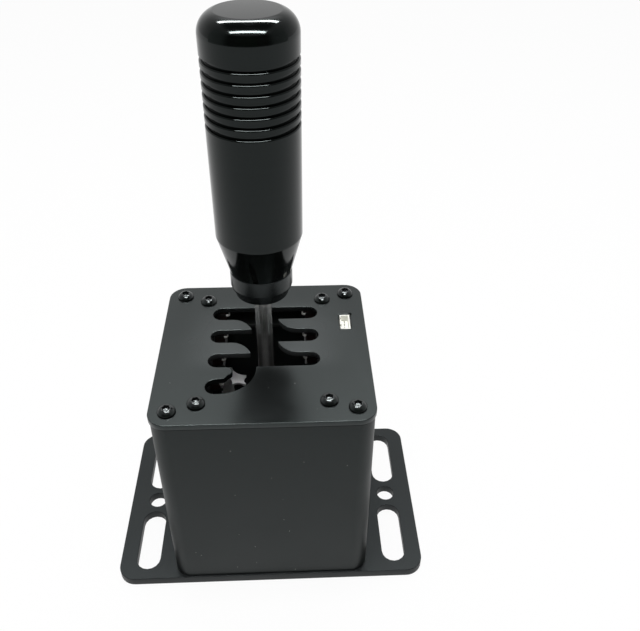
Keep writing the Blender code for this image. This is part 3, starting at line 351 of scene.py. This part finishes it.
def turnedFinish(name, look):
    material, tree, shader, place = newFinish(name)
    rings = useGroup(tree, turnedRings, {"Vector": place, "Scale": look["rings"]})
    colour = mixColour(tree, rings["Streak"], rgba(look["dark"]), rgba(look["light"]))
    rough = remap(tree, rings["Streak"], 0.0, 1.0, *look["rough"])
    tree.links.new(colour, shader.inputs["Base Color"])
    tree.links.new(rough, shader.inputs["Roughness"])
    shader.inputs["Metallic"].default_value = look["metallic"]
    shader.inputs["IOR"].default_value = look["ior"]
    shader.inputs["Specular Tint"].default_value = rgba(look["tint"])
    shader.inputs["Anisotropic"].default_value = look.get("brushed", 0.0)
    shader.inputs["Anisotropic Rotation"].default_value = 0.25  # spreads along the axis
    addBump(tree, shader, rings["Height"], look["bump"], look["depth"])
    return material


knobBlack = turnedFinish("knob anodising", knobFinish)
collarBlack = turnedFinish("collar anodising", collarFinish)
rodSteel = turnedFinish("polished rod", rodFinish)
pinSteel = turnedFinish("ground pin", pinFinish)
screwBlack = turnedFinish("black oxide screw", screwFinish)
screwZinc = turnedFinish("zinc screw", zincScrewFinish)


# Plated sheet and spring wire
stayLook = {
    "dark": (0.72, 0.72, 0.73), "light": (0.86, 0.86, 0.86), "metallic": 0.05, "rough": (0.42, 0.55),
    "peel": 1400.0, "grain": 5200.0, "bump": 0.12,
}
zincSheetLook = {
    "dark": (0.40, 0.405, 0.41), "light": (0.60, 0.60, 0.60), "metallic": 1.0, "rough": (0.30, 0.46),
    "peel": 1400.0, "grain": 5200.0, "bump": 0.12,
}
springLook = {
    "dark": (0.26, 0.26, 0.265), "light": (0.42, 0.42, 0.42), "metallic": 1.0, "rough": (0.26, 0.4),
    "peel": 2400.0, "grain": 6000.0, "bump": 0.15,
}
bladeLook = {
    "paintedShadeArm": (0.020, 0.019, 0.018), "paintedLitCurl": (0.90, 0.89, 0.86), "metallic": 0.2, "rough": (0.24, 0.34),
    "paintedLitCurlFrom": 20.9 * mm, "paintedLitCurlTo": 20.3 * mm,  # out from the middle of the gate
    "peel": 2400.0, "grain": 6000.0, "bump": 0.08,
}
tinLook = {
    "dark": (0.70, 0.70, 0.66), "light": (0.80, 0.80, 0.76), "metallic": 0.15, "rough": (0.3, 0.4),
    "peel": 2400.0, "grain": 6000.0, "bump": 0.06,
}
boardLook = {
    "dark": (0.006, 0.0075, 0.0068), "light": (0.012, 0.014, 0.0128), "metallic": 0.0, "rough": (0.34, 0.5),
    "peel": 1800.0, "grain": 5200.0, "bump": 0.1,
}
switchLook = {
    "dark": (0.016, 0.0032, 0.0027), "light": (0.028, 0.0054, 0.0044), "metallic": 0.0, "rough": (0.5, 0.65),
    "peel": 1500.0, "grain": 5200.0, "bump": 0.15,
}
chipLook = {
    "dark": (0.010, 0.010, 0.0105), "light": (0.018, 0.018, 0.0185), "metallic": 0.0, "rough": (0.5, 0.62),
    "peel": 2600.0, "grain": 7000.0, "bump": 0.25,
}
nylonLook = {
    "dark": (0.85, 0.85, 0.79), "light": (0.90, 0.90, 0.85), "metallic": 0.0, "rough": (0.38, 0.5),
    "peel": 1200.0, "grain": 5200.0, "bump": 0.08,
}


def grainedFinish(name, look):
    material, tree, shader, place = newFinish(name)
    grain = useGroup(tree, coatGrain, {"Vector": place, "Peel": look["peel"], "Grain": look["grain"]})
    colour = mixColour(tree, grain["Mottle"], rgba(look["dark"]), rgba(look["light"]))
    rough = remap(tree, grain["Mottle"], 0.0, 1.0, *look["rough"])
    tree.links.new(colour, shader.inputs["Base Color"])
    tree.links.new(rough, shader.inputs["Roughness"])
    shader.inputs["Metallic"].default_value = look["metallic"]
    addBump(tree, shader, grain["Height"], look["bump"], 0.05 * mm)
    return material


# Spring strip with painted shade: dark along its arms, with its curled end kept pale as the painted lit part
def bladeFinish(name, look):
    material, tree, shader, place = newFinish(name)
    grain = useGroup(tree, coatGrain, {"Vector": place, "Peel": look["peel"], "Grain": look["grain"]})
    out = maths(tree, "ABSOLUTE", addNode(tree, "ShaderNodeSeparateXYZ", {0: place}).outputs[0])
    # Painted shade on the arms and a pale lit tone on the curled end, split by distance from the middle of
    # the gate
    paintedLitCurl = remap(tree, out, look["paintedLitCurlFrom"], look["paintedLitCurlTo"], 0.0, 1.0, True)
    bright = mixColour(tree, grain["Mottle"], rgba([0.9 * c for c in look["paintedLitCurl"]]), rgba(look["paintedLitCurl"]))
    tree.links.new(mixColour(tree, paintedLitCurl, rgba(look["paintedShadeArm"]), bright), shader.inputs["Base Color"])
    tree.links.new(remap(tree, grain["Mottle"], 0.0, 1.0, *look["rough"]), shader.inputs["Roughness"])
    shader.inputs["Metallic"].default_value = look["metallic"]
    addBump(tree, shader, grain["Height"], look["bump"], 0.05 * mm)
    return material


zincSheet = grainedFinish("zinc sheet", zincSheetLook)
stayZinc = grainedFinish("white zinc stay", stayLook)
springWire = grainedFinish("spring wire", springLook)
bladeNickel = bladeFinish("switch blade", bladeLook)
pinTin = grainedFinish("tinned pin", tinLook)
boardMask = grainedFinish("board mask", boardLook)
switchRed = grainedFinish("switch moulding", switchLook)
chipBlack = grainedFinish("chip moulding", chipLook)
headerNylon = grainedFinish("header nylon", nylonLook)
print("finishes built")


# Floor, world and lamps
stageLook = {
    # glow is the share of plain white in the floor
    "floorSide": 12.0, "floorColour": (0.86, 0.86, 0.86), "glow": 0.92,
    "skyBack": 0.93, "skySide": 0.46, "bloom": 1.15,
    "skyFrom": 50.0, "skyTo": 62.0, "skyUpper": 0.16,  # degrees above the horizon
    "screenRadius": 1.3, "screenHeight": 1.33, "screenReach": 95.0,
    "middle": (0.046, 0.074, 0.048), "dark": (0.048, 0.053, 0.048),
    "edge": (0.335, 0.36, 0.35), "pale": (0.39, 0.42, 0.41),
}


def makeFloor(look):
    material, tree, shader, place = newFinish("paper floor")
    fibres = addNode(tree, "ShaderNodeTexNoise", {"Vector": place, "Scale": 900.0, "Detail": 3.0})
    low = rgba([0.97 * c for c in look["floorColour"]])
    tone = mixColour(tree, fibres.outputs[0], low, rgba(look["floorColour"]))
    tree.links.new(tone, shader.inputs["Base Color"])
    shader.inputs["Roughness"].default_value = 0.9
    shader.inputs["Specular IOR Level"].default_value = 0.1
    path = addNode(tree, "ShaderNodeLightPath").outputs
    seen = maths(tree, "MAXIMUM", path["Is Camera Ray"], path["Is Glossy Ray"])
    seen = maths(tree, "MAXIMUM", seen, path["Is Transmission Ray"])
    white = addNode(tree, "ShaderNodeEmission", {"Strength": 1.0})
    share = maths(tree, "MULTIPLY", seen, look["glow"])
    mix = addNode(tree, "ShaderNodeMixShader", {0: share, 1: shader.outputs[0], 2: white.outputs[0]})
    under = addNode(tree, "ShaderNodeNewGeometry").outputs["Backfacing"]
    clear = addNode(tree, "ShaderNodeBsdfTransparent")
    # The floor is open from below
    mix = addNode(
        tree, "ShaderNodeMixShader", {0: under, 1: mix.outputs[0], 2: clear.outputs[0]}
    )
    tree.links.new(mix.outputs[0], tree.nodes["Material Output"].inputs["Surface"])
    half, drop = look["floorSide"] / 2, -0.05 * mm
    mesh = bpy.data.meshes.new("floor")
    corners = [(-half, -half, drop), (half, -half, drop), (half, half, drop), (-half, half, drop)]
    mesh.from_pydata(corners, [], [(0, 1, 2, 3)])
    mesh.materials.append(material)
    floor = bpy.data.objects.new("floor", mesh)
    scene.collection.objects.link(floor)


def makeWorld(look):
    world = bpy.data.worlds.new("studio")
    scene.world = world
    world.use_nodes = True
    tree = world.node_tree
    way = addNode(tree, "ShaderNodeTexCoord").outputs["Generated"]
    parts = addNode(tree, "ShaderNodeSeparateXYZ", {0: way}).outputs
    rise = [math.sin(math.radians(degrees)) for degrees in (18, 30, 32, 48, look["skyFrom"], look["skyTo"])]
    side = maths(tree, "ARCTAN2", maths(tree, "ABSOLUTE", parts[0]), parts[1])
    around = remap(tree, side, math.radians(20), math.radians(95), look["skyBack"], look["skySide"])
    level = maths(tree, "MULTIPLY", around, remap(tree, parts[2], rise[0], rise[1], 1.0, 0.86))
    behind = remap(tree, side, math.radians(42), math.radians(16), 0.0, look["bloom"], smooth=True)
    bloom = maths(tree, "MULTIPLY", behind, remap(tree, parts[2], rise[2], rise[3], 0.0, 1.0, smooth=True))
    upper = remap(tree, parts[2], rise[4], rise[5], 1.0, look["skyUpper"], smooth=True)
    level = maths(tree, "MULTIPLY", maths(tree, "ADD", level, bloom), upper)
    tree.links.new(level, tree.nodes["Background"].inputs["Strength"])
    tree.nodes["Background"].inputs["Color"].default_value = (1, 1, 1, 1)


# A dark screen on the camera's side, out of the frame, that leaves the white floor in the reflections
def makeScreen(look):
    material = bpy.data.materials.new("dark screen")
    material.use_nodes = True
    tree = material.node_tree
    tree.nodes.remove(tree.nodes["Principled BSDF"])
    place = addNode(tree, "ShaderNodeTexCoord").outputs["Object"]
    parts = addNode(tree, "ShaderNodeSeparateXYZ", {0: place}).outputs
    ahead = maths(tree, "MULTIPLY", parts[1], -1.0)
    side = maths(tree, "ARCTAN2", maths(tree, "ABSOLUTE", parts[0]), ahead)
    turned = maths(tree, "MULTIPLY", side, 180 / math.pi)
    colour = rgba(look["middle"])
    for low, high, key in ((12, 24, "dark"), (41, 67, "edge"), (67, 90, "pale")):
        colour = mixColour(tree, remap(tree, turned, low, high, 0.0, 1.0, True), colour, rgba(look[key]))
    glow = addNode(tree, "ShaderNodeEmission", {"Color": colour, "Strength": 1.0})
    tree.links.new(glow.outputs[0], tree.nodes["Material Output"].inputs["Surface"])
    points = []
    faces = []
    count = 64
    far, reach = look["screenRadius"], look["screenReach"]
    for i in range(count + 1):
        angle = math.radians(reach * (2 * i / count - 1))
        x, y = far * math.sin(angle), -far * math.cos(angle)
        points += [(x, y, 0.0), (x, y, look["screenHeight"])]
        if i:
            faces.append((2 * i - 2, 2 * i, 2 * i + 1, 2 * i - 1))
    mesh = bpy.data.meshes.new("screen")
    mesh.from_pydata(points, [], faces)
    mesh.materials.append(material)
    screen = bpy.data.objects.new("screen", mesh)
    scene.collection.objects.link(screen)
    screen.visible_camera = False
    screen.visible_diffuse = False
    screen.visible_shadow = False
    screen.visible_transmission = False


lampLooks = {
    "backBar": {
        "from": (0.0, 0.113, 0.49), "size": (0.333, 0.038), "watts": 1.95, "gloss": True, "spread": False
    },
    "frontBar": {
        "from": (0.0, -0.091, 0.41), "size": (0.222, 0.027), "watts": 1.2, "gloss": True, "spread": False
    },
    "softTop": {"from": (0.0, -0.1, 1.6), "size": (0.5, 0.5), "watts": 20.0, "gloss": False, "spread": True},
}


def makeLamp(name, look):
    data = bpy.data.lights.new(name, "AREA")
    data.shape = "RECTANGLE"
    data.size, data.size_y = look["size"]
    data.energy = look["watts"]
    lamp = bpy.data.objects.new(name, data)
    scene.collection.objects.link(lamp)
    place = Vector(look["from"])
    target = Vector((0, 0, 0.26))
    away = (place - target).normalized()
    across = Vector((1, 0, 0))
    upward = away.cross(across)
    matrix = Matrix((across, upward, away)).transposed().to_4x4()
    matrix.translation = place
    lamp.matrix_world = matrix
    lamp.visible_camera = False
    lamp.visible_glossy = look["gloss"]
    lamp.visible_diffuse = look["spread"]


makeFloor(stageLook)
makeWorld(stageLook)
makeScreen(stageLook)
for lampName, lampLook in lampLooks.items():
    makeLamp(lampName, lampLook)
print("stage set")


# Piece helpers
def addPiece(name, mesh, finish, body, slot, *nodes):
    mesh.materials.clear()
    mesh.materials.append(finish)
    piece = bpy.data.objects.new(name, mesh)
    scene.collection.objects.link(piece)
    return piece, body, slot, nodes


def settle(made):
    piece, body, slot, nodes = made
    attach(piece, body)
    if nodes:
        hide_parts(*nodes)
    return piece


def smoothByAngle(mesh, degrees):
    for face in mesh.polygons:
        face.use_smooth = True
    mesh.set_sharp_from_angle(angle=math.radians(degrees))


def holdFlats(piece):
    weighted = piece.modifiers.new("weighted normals", "WEIGHTED_NORMAL")
    weighted.keep_sharp = True


# Rounds the corners of a profile: each point is (radius, height, fillet)
def roundProfile(corners, steps=5):
    points = []
    last = len(corners) - 1
    for i, (r, z, fillet) in enumerate(corners):
        here = Vector((r, z))
        if fillet == 0 or i in (0, last):
            points.append(here)
            continue
        before = (Vector(corners[i - 1][:2]) - here).normalized()
        after = (Vector(corners[i + 1][:2]) - here).normalized()
        half = before.angle(after) / 2
        back = fillet / math.tan(half)
        centre = here + (before + after).normalized() * (fillet / math.sin(half))
        first, final = here + before * back - centre, here + after * back - centre
        sweep = first.angle_signed(final)
        for step in range(steps + 1):
            turn = -sweep * step / steps
            c, s = math.cos(turn), math.sin(turn)
            points.append(centre + Vector((first.x * c - first.y * s, first.x * s + first.y * c)))
    return points


# Turns a profile of (radius, height) about Z; a point on the axis becomes a tip
def turnProfile(name, profile, steps, closed=False):
    shape = bmesh.new()
    rings = []
    for r, z in profile:
        if r < 1e-7:
            rings.append([shape.verts.new((0, 0, z))])
        else:
            angles = [2 * math.pi * i / steps for i in range(steps)]
            rings.append([shape.verts.new((r * math.cos(a), r * math.sin(a), z)) for a in angles])
    pairs = list(zip(rings, rings[1:]))
    if closed:
        pairs.append((rings[-1], rings[0]))
    for upper, lower in pairs:
        for i in range(steps):
            j = (i + 1) % steps
            corner = [
                upper[i % len(upper)], lower[i % len(lower)], lower[j % len(lower)], upper[j % len(upper)]
            ]
            corner = list(dict.fromkeys(corner))
            if len(corner) > 2:
                shape.faces.new(corner)
    bmesh.ops.recalc_face_normals(shape, faces=shape.faces)
    mesh = bpy.data.meshes.new(name)
    shape.to_mesh(mesh)
    shape.free()
    return mesh


# A copy of a CAD node with its flats merged, its edges rounded and its own finish
def dressNode(node, name, finish, slot, rounding=0.0, smooth=38.0):
    source = frame["nodes"][node]
    mesh = source.data.copy()
    mesh.name = name
    shape = bmesh.new()
    shape.from_mesh(mesh)
    bmesh.ops.remove_doubles(shape, verts=shape.verts, dist=0.5e-6)
    bmesh.ops.dissolve_limit(shape, angle_limit=math.radians(0.6), verts=shape.verts, edges=shape.edges)
    shape.to_mesh(mesh)
    shape.free()
    if "custom_normal" in mesh.attributes:
        mesh.attributes.remove(mesh.attributes["custom_normal"])
    smoothByAngle(mesh, smooth)
    made = addPiece(name, mesh, finish, source["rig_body"], slot, node)
    if rounding:
        edge = made[0].modifiers.new("edge round", "BEVEL")
        edge.width = rounding
        edge.segments = 2
        edge.limit_method = "ANGLE"
        edge.angle_limit = math.radians(smooth)
    holdFlats(made[0])
    return settle(made)


# The fins between the lanes sweep to a sharper tip than the plain cut in the plate
finShape = {
    "lanes": (27 * mm, 9 * mm, -9 * mm), "slotHalf": 4.75 * mm, "tip": 6.6 * mm,
    "length": 8.5 * mm, "blunt": 0.8 * mm, "sweepLength": 9.4 * mm, "sweepBlunt": 0.5 * mm,
}


def slimFins(mesh, shape):
    lanes, half = shape["lanes"], shape["slotHalf"]
    rise = lanes[0] - lanes[1] - 2 * half
    moves = []
    for side, foot in (
        (-1, lanes[1] + half), (-1, lanes[2] + half), (1, lanes[0] - half), (1, lanes[1] - half)
    ):
        for i in range(91):
            s, c = math.sin(math.radians(i)), math.cos(math.radians(i))
            cut = (shape["tip"] + shape["length"] * (1 - s), shape["blunt"] + (rise - shape["blunt"]) * c)
            height = shape["sweepBlunt"] + (rise - shape["sweepBlunt"]) * c**1.5
            sweep = (shape["tip"] + shape["sweepLength"] * (1 - s), height)
            moves.append([Vector((side * x, foot - side * y)) for x, y in (cut, sweep)])
    for vertex in mesh.vertices:
        here = vertex.co.xy
        cut, sweep = min(moves, key=lambda move: (move[0] - here).length)
        if (cut - here).length < 0.5 * mm:
            vertex.co.xy = here + sweep - cut


# Case: base plate, housing and gate plate
dressNode("base_plate", "basePlate", baseBlack, "satin_black", smooth=50.0)
dressNode("housing", "housingCase", caseBlack, "satin_black", rounding=0.5 * mm, smooth=50.0)
gatePlate = dressNode("gate_plate", "gatePlate", plateBlack, "satin_black", smooth=50.0)
slimFins(gatePlate.data, finShape)
print("case dressed")


# Knob, collar, lock nut and rod, turned about the lever
shaftLow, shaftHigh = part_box("lever_shaft")
leverAxis = Vector(((shaftLow.x + shaftHigh.x) / 2, (shaftLow.y + shaftHigh.y) / 2, 0))
knobShape = {
    "steps": 160, "footRadius": 19.35 * mm, "coneEnd": 14.3 * mm, "coneHeight": 18.8 * mm,
    "crown": 8.5 * mm, "flat": 12.9 * mm, "bore": 4.3 * mm, "footRound": 0.5 * mm, "grooves": 7,
    "firstGroove": 16.4 * mm, "pitch": 4.34 * mm, "width": 1.8 * mm, "depth": 1.5 * mm, "lip": 0.7 * mm,
    "edge": 0.12 * mm,
}


def knobProfile(shape):
    low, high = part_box("knob_body")
    shaftTop = shaftHigh.z
    wide = (high.x - low.x) / 2
    foot = low.z + shape["coneHeight"]
    edge = shape["edge"]

    def side(height):
        return shape["footRadius"] + (wide - shape["footRadius"]) * (height - foot) / (high.z - foot)

    crown = shape["crown"]
    bend = math.acos(1 - (wide - shape["flat"]) / crown)
    corners = [(0, high.z, 0)]
    for i in range(21):  # the round meets the flat top in a faint edge
        turn = bend * (1 - i / 20)
        corners.append(
            (wide - crown * (1 - math.cos(turn)), high.z - crown * (math.sin(bend) - math.sin(turn)), 0)
        )
    for i in range(shape["grooves"]):
        middle = high.z - shape["firstGroove"] - shape["pitch"] * i
        upper, lower = middle + shape["width"] / 2, middle - shape["width"] / 2
        floor = side(middle) - shape["depth"]
        corners += [(side(upper), upper, edge), (floor, upper, edge), (floor, lower, edge)]
        corners += [(side(lower), lower, shape["lip"])]
    corners += [(shape["footRadius"], foot, shape["footRound"]), (shape["coneEnd"], low.z, edge)]
    corners += [
        (shape["bore"], low.z, edge), (shape["bore"], shaftTop + 0.3 * mm, 0), (0, shaftTop + 0.3 * mm, 0)
    ]
    return roundProfile(corners, 4)


def placeTurned(name, mesh, finish, slot, node, smooth=30.0):
    smoothByAngle(mesh, smooth)
    made = addPiece(name, mesh, finish, frame["nodes"][node]["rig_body"], slot, node)
    made[0].location = leverAxis
    holdFlats(made[0])
    return settle(made)


def ringProfile(node, bore, top, taper, taperHeight):
    low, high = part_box(node)
    outer = (high.x - low.x) / 2
    small = 0.15 * mm
    corners = [
        (outer - top, high.z, small), (outer, high.z - top, small), (outer, low.z + taperHeight, small)
    ]
    corners += [(outer - taper, low.z, small), (bore, low.z, 0), (bore, high.z, 0)]
    return roundProfile(corners, 3)


placeTurned(
    "knob", turnProfile("knob", knobProfile(knobShape), knobShape["steps"]), knobBlack, "knob_black",
    "knob_body"
)
collarMesh = turnProfile(
    "collar", ringProfile("knob_collar", 4.3 * mm, 0.3 * mm, 0.3 * mm, 1.2 * mm), 128, closed=True
)
placeTurned("knobCollar", collarMesh, collarBlack, "knob_black", "knob_collar")
nutMesh = turnProfile(
    "nut", ringProfile("knob_lock_nut", 4.3 * mm, 0.2 * mm, 0.8 * mm, 3.4 * mm), 128, closed=True
)
placeTurned("lockNut", nutMesh, collarBlack, "knob_black", "knob_lock_nut")
rodRadius = (shaftHigh.x - shaftLow.x) / 2
rodCorners = [
    (0, shaftHigh.z, 0), (rodRadius, shaftHigh.z, 0.4 * mm), (rodRadius, shaftLow.z, 0.4 * mm),
    (0, shaftLow.z, 0)
]
placeTurned(
    "leverRod", turnProfile("rod", roundProfile(rodCorners), 96), rodSteel, "bright_steel", "lever_shaft"
)
print("lever turned")


# Button-head screws with six-lobe drives
screwShape = {
    "steps": 72, "headRadius": 4.1 * mm, "flatRadius": 2.1 * mm, "rim": 0.35 * mm, "lobeTip": 1.85 * mm,
    "lobeHollow": 0.34 * mm, "drive": 1.45 * mm, "shank": 2.0 * mm,
}


def lobeRadius(shape, angle):
    wave = 0.5 + 0.5 * math.cos(6 * angle)
    return shape["lobeTip"] - shape["lobeHollow"] * (1 - wave ** 1.4)


def screwHead(name, shape, low, seat, top):
    head, flat, rim = shape["headRadius"], shape["flatRadius"], shape["rim"]
    outer = [
        (0, low), (shape["shank"], low), (shape["shank"], seat), (head - 0.1 * mm, seat),
        (head, seat + 0.1 * mm)
    ]
    outer += [(head, seat + rim)]
    rise = top - seat - rim
    slopes = [math.radians(62 - 40 * (i + 0.5) / 8) for i in range(8)]  # steep at the rim, gentle at the top
    run, climb = sum(math.cos(slope) for slope in slopes), sum(math.sin(slope) for slope in slopes)
    r, z = head, seat + rim
    for slope in slopes[:-1]:
        r -= (head - flat) * math.cos(slope) / run
        z += rise * math.sin(slope) / climb
        outer.append((r, z))
    rings = [[(r, z)] * shape["steps"] for r, z in outer]
    turns = [2 * math.pi * i / shape["steps"] for i in range(shape["steps"])]
    lobes = [lobeRadius(shape, a) for a in turns]
    rings.append([(max(flat * 0.97, r + 0.16 * mm), top) for r in lobes])
    for spread, drop in ((0.12, 0.0), (0.0, 0.14), (-0.02, 0.8), (-0.04, shape["drive"] / mm)):
        rings.append([(r + spread * mm, top - drop * mm) for r in lobes])
    rings.append([(0.45 * r, top - shape["drive"] - 0.12 * mm) for r in lobes])
    rings.append([(0, top - shape["drive"] - 0.35 * mm)] * shape["steps"])
    mesh = bmesh.new()
    loops = []
    for ring in rings:
        if ring[0][0] == 0:
            loops.append([mesh.verts.new((0, 0, ring[0][1]))])
        else:
            loops.append(
                [mesh.verts.new((r * math.cos(a), r * math.sin(a), z)) for (r, z), a in zip(ring, turns)]
            )
    for lower, upper in zip(loops, loops[1:]):
        for i in range(shape["steps"]):
            j = (i + 1) % shape["steps"]
            corner = [
                lower[i % len(lower)], lower[j % len(lower)], upper[j % len(upper)], upper[i % len(upper)]
            ]
            corner = list(dict.fromkeys(corner))
            mesh.faces.new(corner)
    bmesh.ops.recalc_face_normals(mesh, faces=mesh.faces)
    data = bpy.data.meshes.new(name)
    mesh.to_mesh(data)
    mesh.free()
    smoothByAngle(data, 40.0)
    return data


def placeScrews(shape):
    turnOf = random.Random(11)
    for group in ("cover", "board"):
        for number in range(1, 5):
            node = f"{group}_screw_{number}"
            low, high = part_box(node)
            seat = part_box("gate_plate")[1].z + 0.3 * mm
            mesh = screwHead(node, shape, low.z, seat, high.z)
            made = addPiece(f"{group}Screw{number}", mesh, screwBlack, "base", "black_screw", node)
            made[0].location = ((low.x + high.x) / 2, (low.y + high.y) / 2, 0)
            made[0].rotation_euler = (0, 0, turnOf.uniform(0, math.pi / 3))
            settle(made)


placeScrews(screwShape)
print("screws placed")


# Header with its pins
headerShape = {"pins": 4, "pitch": 2.5 * mm, "pinHalf": 0.25 * mm, "pinBelowRim": 2.2 * mm, "floor": 3.6 * mm}


def makeHeader(shape):
    socket = dressNode(
        "header_socket", "headerSocket", headerNylon, "header", rounding=0.12 * mm, smooth=40.0
    )
    low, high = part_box("header_socket")
    levels = sorted({round(vertex.co.z, 5) for vertex in socket.data.vertices})
    for vertex in socket.data.vertices:
        if abs(vertex.co.z - levels[1]) < 0.1 * mm:  # the socket's floor, where the pins stand
            vertex.co.z += high.z - shape["floor"] - levels[1]
    middle = (low + high) / 2
    pins = bmesh.new()
    foot, tip = high.z - shape["floor"] + 0.02 * mm, high.z - shape["pinBelowRim"]
    half = shape["pinHalf"]
    for i in range(shape["pins"]):
        y = middle.y + (i - (shape["pins"] - 1) / 2) * shape["pitch"]
        loops = []
        for z, reach in ((foot, half), (tip - 0.5 * mm, half), (tip, 0.4 * half)):
            ring = [(-reach, -reach), (reach, -reach), (reach, reach), (-reach, reach)]
            loops.append([pins.verts.new((middle.x + dx, y + dy, z)) for dx, dy in ring])
        for lower, upper in zip(loops, loops[1:]):
            for k in range(4):
                pins.faces.new((lower[k], lower[(k + 1) % 4], upper[(k + 1) % 4], upper[k]))
        pins.faces.new(loops[0][::-1])
        pins.faces.new(loops[-1])
    mesh = bpy.data.meshes.new("headerPins")
    pins.to_mesh(mesh)
    pins.free()
    settle(addPiece("headerPins", mesh, pinTin, "base", "bright_steel"))


makeHeader(headerShape)


# What shows through the slots and inside the case
insideParts = {
    "switch_board": ("switchBoard", boardMask, "board", 0.12 * mm),
    "controller_chip": ("controllerChip", chipBlack, "chip", 0.15 * mm),
    "pivot_bracket": ("pivotBracket", zincSheet, "zinc", 0.3 * mm),
    "select_cradle": ("selectCradle", zincSheet, "zinc", 0.3 * mm),
    "lever_hub": ("leverHub", zincSheet, "zinc", 0.25 * mm),
    "hub_set_screw": ("hubSetScrew", screwBlack, "black_screw", 0.15 * mm),
    "throw_axle": ("throwAxle", pinSteel, "bright_steel", 0.0),
    "axle_clip": ("axleClip", springWire, "spring_steel", 0.0),
    "rear_stay": ("rearStay", stayZinc, "zinc", 0.25 * mm),
}
for number in range(1, 5):
    insideParts[f"board_spacer_{number}"] = (f"boardSpacer{number}", zincSheet, "zinc", 0.0)
    insideParts[f"bracket_screw_{number}"] = (f"bracketScrew{number}", screwZinc, "zinc", 0.0)
    insideParts[f"base_screw_{number}"] = (f"baseScrew{number}", screwZinc, "zinc", 0.0)
for side, count in (("left", 4), ("right", 3)):
    insideParts[f"select_pin_{side}"] = (f"selectPin{side.title()}", pinSteel, "bright_steel", 0.0)
    insideParts[f"stay_screw_{side}"] = (f"stayScrew{side.title()}", screwZinc, "zinc", 0.0)
    for number in range(1, count + 1):
        label = f"{side.title()}{number}"
        insideParts[f"switch_{side}_{number}"] = (f"switch{label}", switchRed, "switch_case", 0.0)
        insideParts[f"switch_lever_{side}_{number}"] = (
            f"switchBlade{label}", bladeNickel, "bright_steel", 0.0
        )
for node, (name, finish, slot, rounding) in insideParts.items():
    dressNode(node, name, finish, slot, rounding)
print("inside dressed:", len(insideParts), "pieces")


# Select springs, with closed ends and a round wire
springShape = {"turns": 5, "endTurns": 0.75, "wire": 1.1 * mm, "perTurn": 28, "sides": 10, "keep": 0.62}


def makeSpring(node, name, shape):
    low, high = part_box(node)
    wire = shape["wire"]
    radius = 4.4 * mm
    axis = Vector((0, (low.y + high.y) / 2, 0))
    bottom, top = low.z + wire / 2, high.z - wire / 2
    count = shape["turns"] * shape["perTurn"]
    points = []
    for i in range(count + 1):
        turn = i / shape["perTurn"]
        ends = shape["endTurns"]
        share = min(max((turn - ends) / (shape["turns"] - 2 * ends), 0.0), 1.0)
        closeUp = 0.9 * wire * min(turn, ends) / ends
        closeTop = 0.9 * wire * min(shape["turns"] - turn, ends) / ends
        height = bottom + closeUp + (top - bottom - 1.8 * wire) * share + (0.9 * wire - closeTop)
        angle = 2 * math.pi * turn
        points.append(Vector((radius * math.cos(angle), radius * math.sin(angle), height)))
    curve = bpy.data.curves.new(name, "CURVE")
    curve.dimensions = "3D"
    curve.bevel_depth = wire / 2
    curve.bevel_resolution = 3
    curve.use_fill_caps = True
    spline = curve.splines.new("POLY")
    spline.points.add(len(points) - 1)
    for knot, place in zip(spline.points, points):
        knot.co = (*(place + axis), 1)
    guide = bpy.data.objects.new(name + "Guide", curve)
    scene.collection.objects.link(guide)
    bpy.context.view_layer.update()
    mesh = bpy.data.meshes.new_from_object(guide.evaluated_get(bpy.context.evaluated_depsgraph_get()))
    bpy.data.objects.remove(guide)
    smoothByAngle(mesh, 50.0)
    spring = settle(addPiece(name, mesh, springWire, "base", "spring_steel", node))
    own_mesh(spring)


makeSpring("select_spring_rear", "selectSpringRear", springShape)
makeSpring("select_spring_front", "selectSpringFront", springShape)
print("springs wound")
